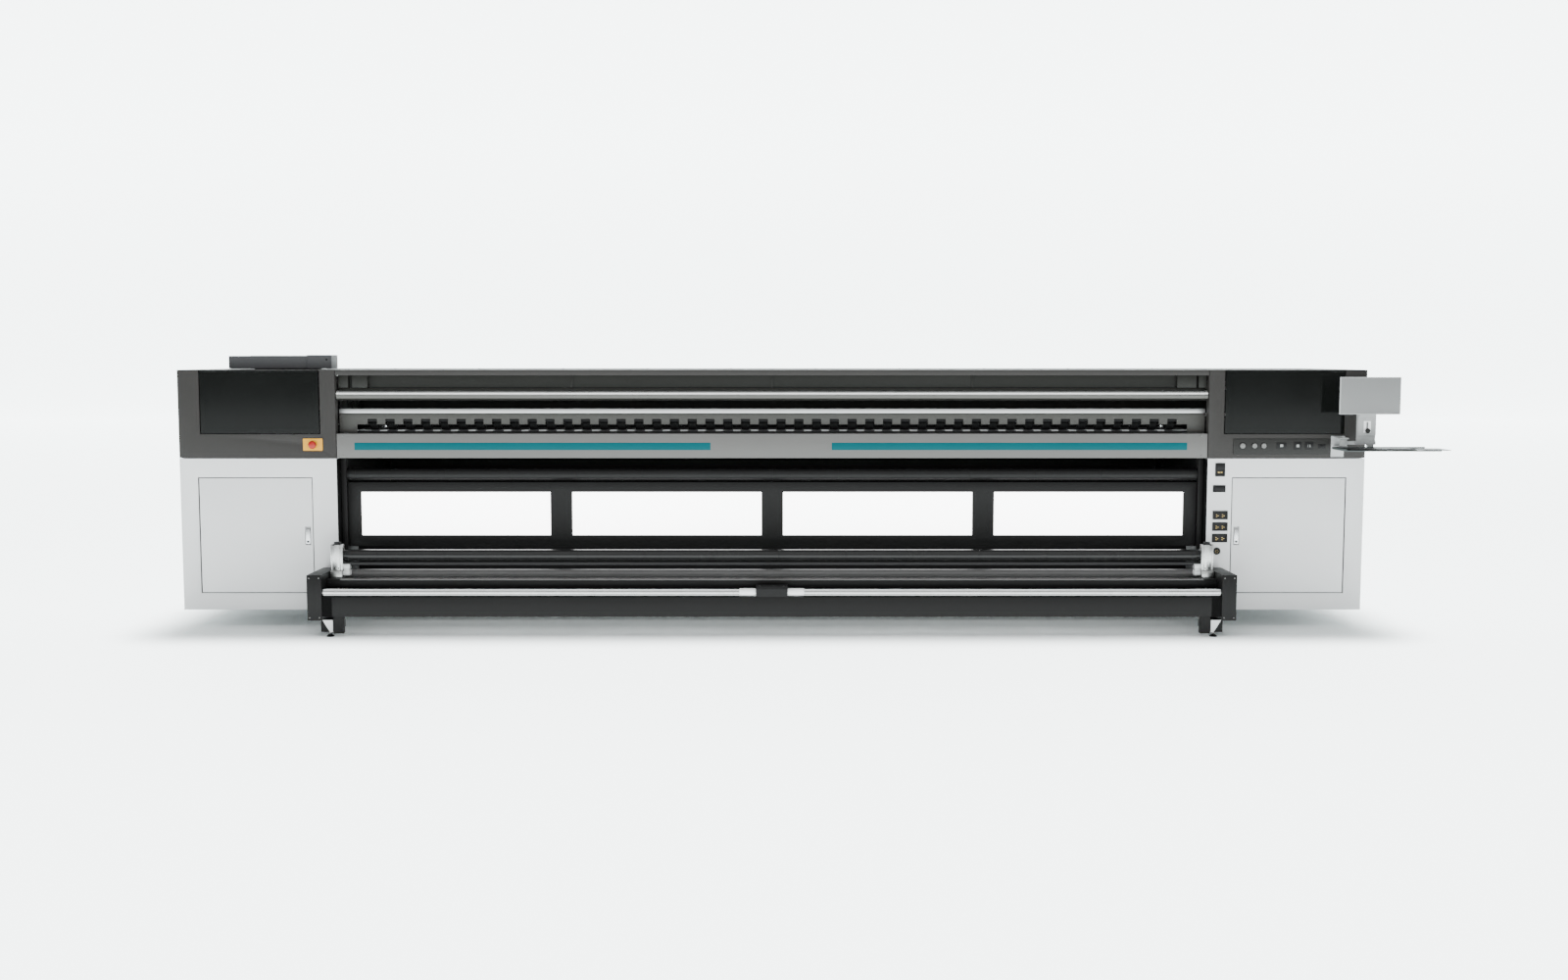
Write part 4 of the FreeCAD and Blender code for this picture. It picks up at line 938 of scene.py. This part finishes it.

# fine black-painted lips round each diffuser
bm = bmesh.new()
for i in range(4):
    xa = (i - 1.5) * 1294.0 - 580.5
    for (x, z, lx, lz) in ((xa - 4, 552, 1169, 4), (xa - 4, 822, 1169, 4), (xa - 4, 552, 4, 274), (xa + 1161, 552, 4, 274)):
        box_mm(bm, x, -501.5, z, lx, 3.0, lz, 0.6)
piece("diffuser_lips", bm, "frame_black", "root")

# ------------------------------------------------------------------ stage
bm = bmesh.new()
pts = []
W = 70.0
yf, yb, rr = -40.0, 30.0, 8.0
line = [(yf, 0.0), (yb, 0.0)]
for k in range(1, 13):
    t = math.pi / 2 * k / 12
    line.append((yb + rr * math.sin(t), rr - rr * math.cos(t)))
line.append((yb + rr, 40.0))
rows = [[bm.verts.new((x, y, z - 0.0005)) for x in (-W, W)] for y, z in line]
for p, q in zip(rows, rows[1:]):
    bm.faces.new((p[0], p[1], q[1], q[0]))
me = bpy.data.meshes.new("floor")
bm.to_mesh(me)
bm.free()
me.shade_smooth()
floor = bpy.data.objects.new("floor", me)
bpy.context.scene.collection.objects.link(floor)
fm = finish("floor_paper", (0.90, 0.945, 0.945), 0.85, grain=30, bump=0.0, var=0.004, spec=0.1)
# glowing paper with a painted shadow: no glow under the machine, full glow from half a metre around it
nt = fm.node_tree
N, L = nt.nodes, nt.links
fb = N["Principled BSDF"]
tc = N.new("ShaderNodeTexCoord")
sep = N.new("ShaderNodeSeparateXYZ")
L.new(tc.outputs["Object"], sep.inputs[0])


def calc(op, a, b=None):
    n = N.new("ShaderNodeMath")
    n.operation = op
    for i, v in enumerate((a, b)):
        if v is None:
            continue
        if isinstance(v, (int, float)):
            n.inputs[i].default_value = v
        else:
            L.new(v, n.inputs[i])
    return n.outputs[0]


fx = calc("MAXIMUM", calc("SUBTRACT", calc("ABSOLUTE", calc("SUBTRACT", sep.outputs["X"], OX)), 3.45), 0.0)
fy = calc("MAXIMUM", calc("SUBTRACT", calc("ABSOLUTE", calc("SUBTRACT", sep.outputs["Y"], OY - 0.05)), 0.72), 0.0)
away = calc("SQRT", calc("ADD", calc("MULTIPLY", fx, fx), calc("MULTIPLY", fy, fy)))
glow = N.new("ShaderNodeMapRange")
glow.interpolation_type = "SMOOTHERSTEP"
glow.inputs["From Min"].default_value = 0.0
glow.inputs["From Max"].default_value = 0.62
glow.inputs["To Min"].default_value = 0.0
glow.inputs["To Max"].default_value = 4.4
L.new(away, glow.inputs["Value"])
fb.inputs["Emission Color"].default_value = (0.93, 0.985, 0.985, 1)
L.new(glow.outputs["Result"], fb.inputs["Emission Strength"])
me.materials.append(fm)

world = bpy.data.worlds.new("studio")
bpy.context.scene.world = world
world.use_nodes = True
bg = world.node_tree.nodes["Background"]
bg.inputs[0].default_value = (0.93, 0.97, 0.97, 1)
bg.inputs[1].default_value = 0.6


def area(name, loc, target, sx, sy, power, color=(1, 1, 1)):
    ld = bpy.data.lights.new(name, "AREA")
    ld.shape = "RECTANGLE"
    ld.size = sx
    ld.size_y = sy
    ld.energy = power
    ld.color = color
    ob = bpy.data.objects.new(name, ld)
    ob.location = loc
    ob.rotation_euler = (Vector(target) - Vector(loc)).to_track_quat("-Z", "Y").to_euler()
    bpy.context.scene.collection.objects.link(ob)
    return ob


area("key", (OX, -5.0, 6.5), (OX, -0.3, 0.8), 12, 3, 260)
area("fill", (OX, -9.5, 3.2), (OX, -0.4, 0.9), 9, 2.2, 90)
area("top", (OX, 1.5, 6.0), (OX, 0, 1.0), 11, 3, 180)

cam_d = bpy.data.cameras.new("cam")
cam_d.lens = 36.0
cam_d.sensor_width = 36.0
cam_d.clip_end = 300
cam = bpy.data.objects.new("cam", cam_d)
cam.location = (OX + 0.072, OY - 0.6 - 9.48, 1.656)
cam.rotation_euler = (math.radians(90 - 4.9), 0, 0)
bpy.context.scene.collection.objects.link(cam)
bpy.context.scene.camera = cam
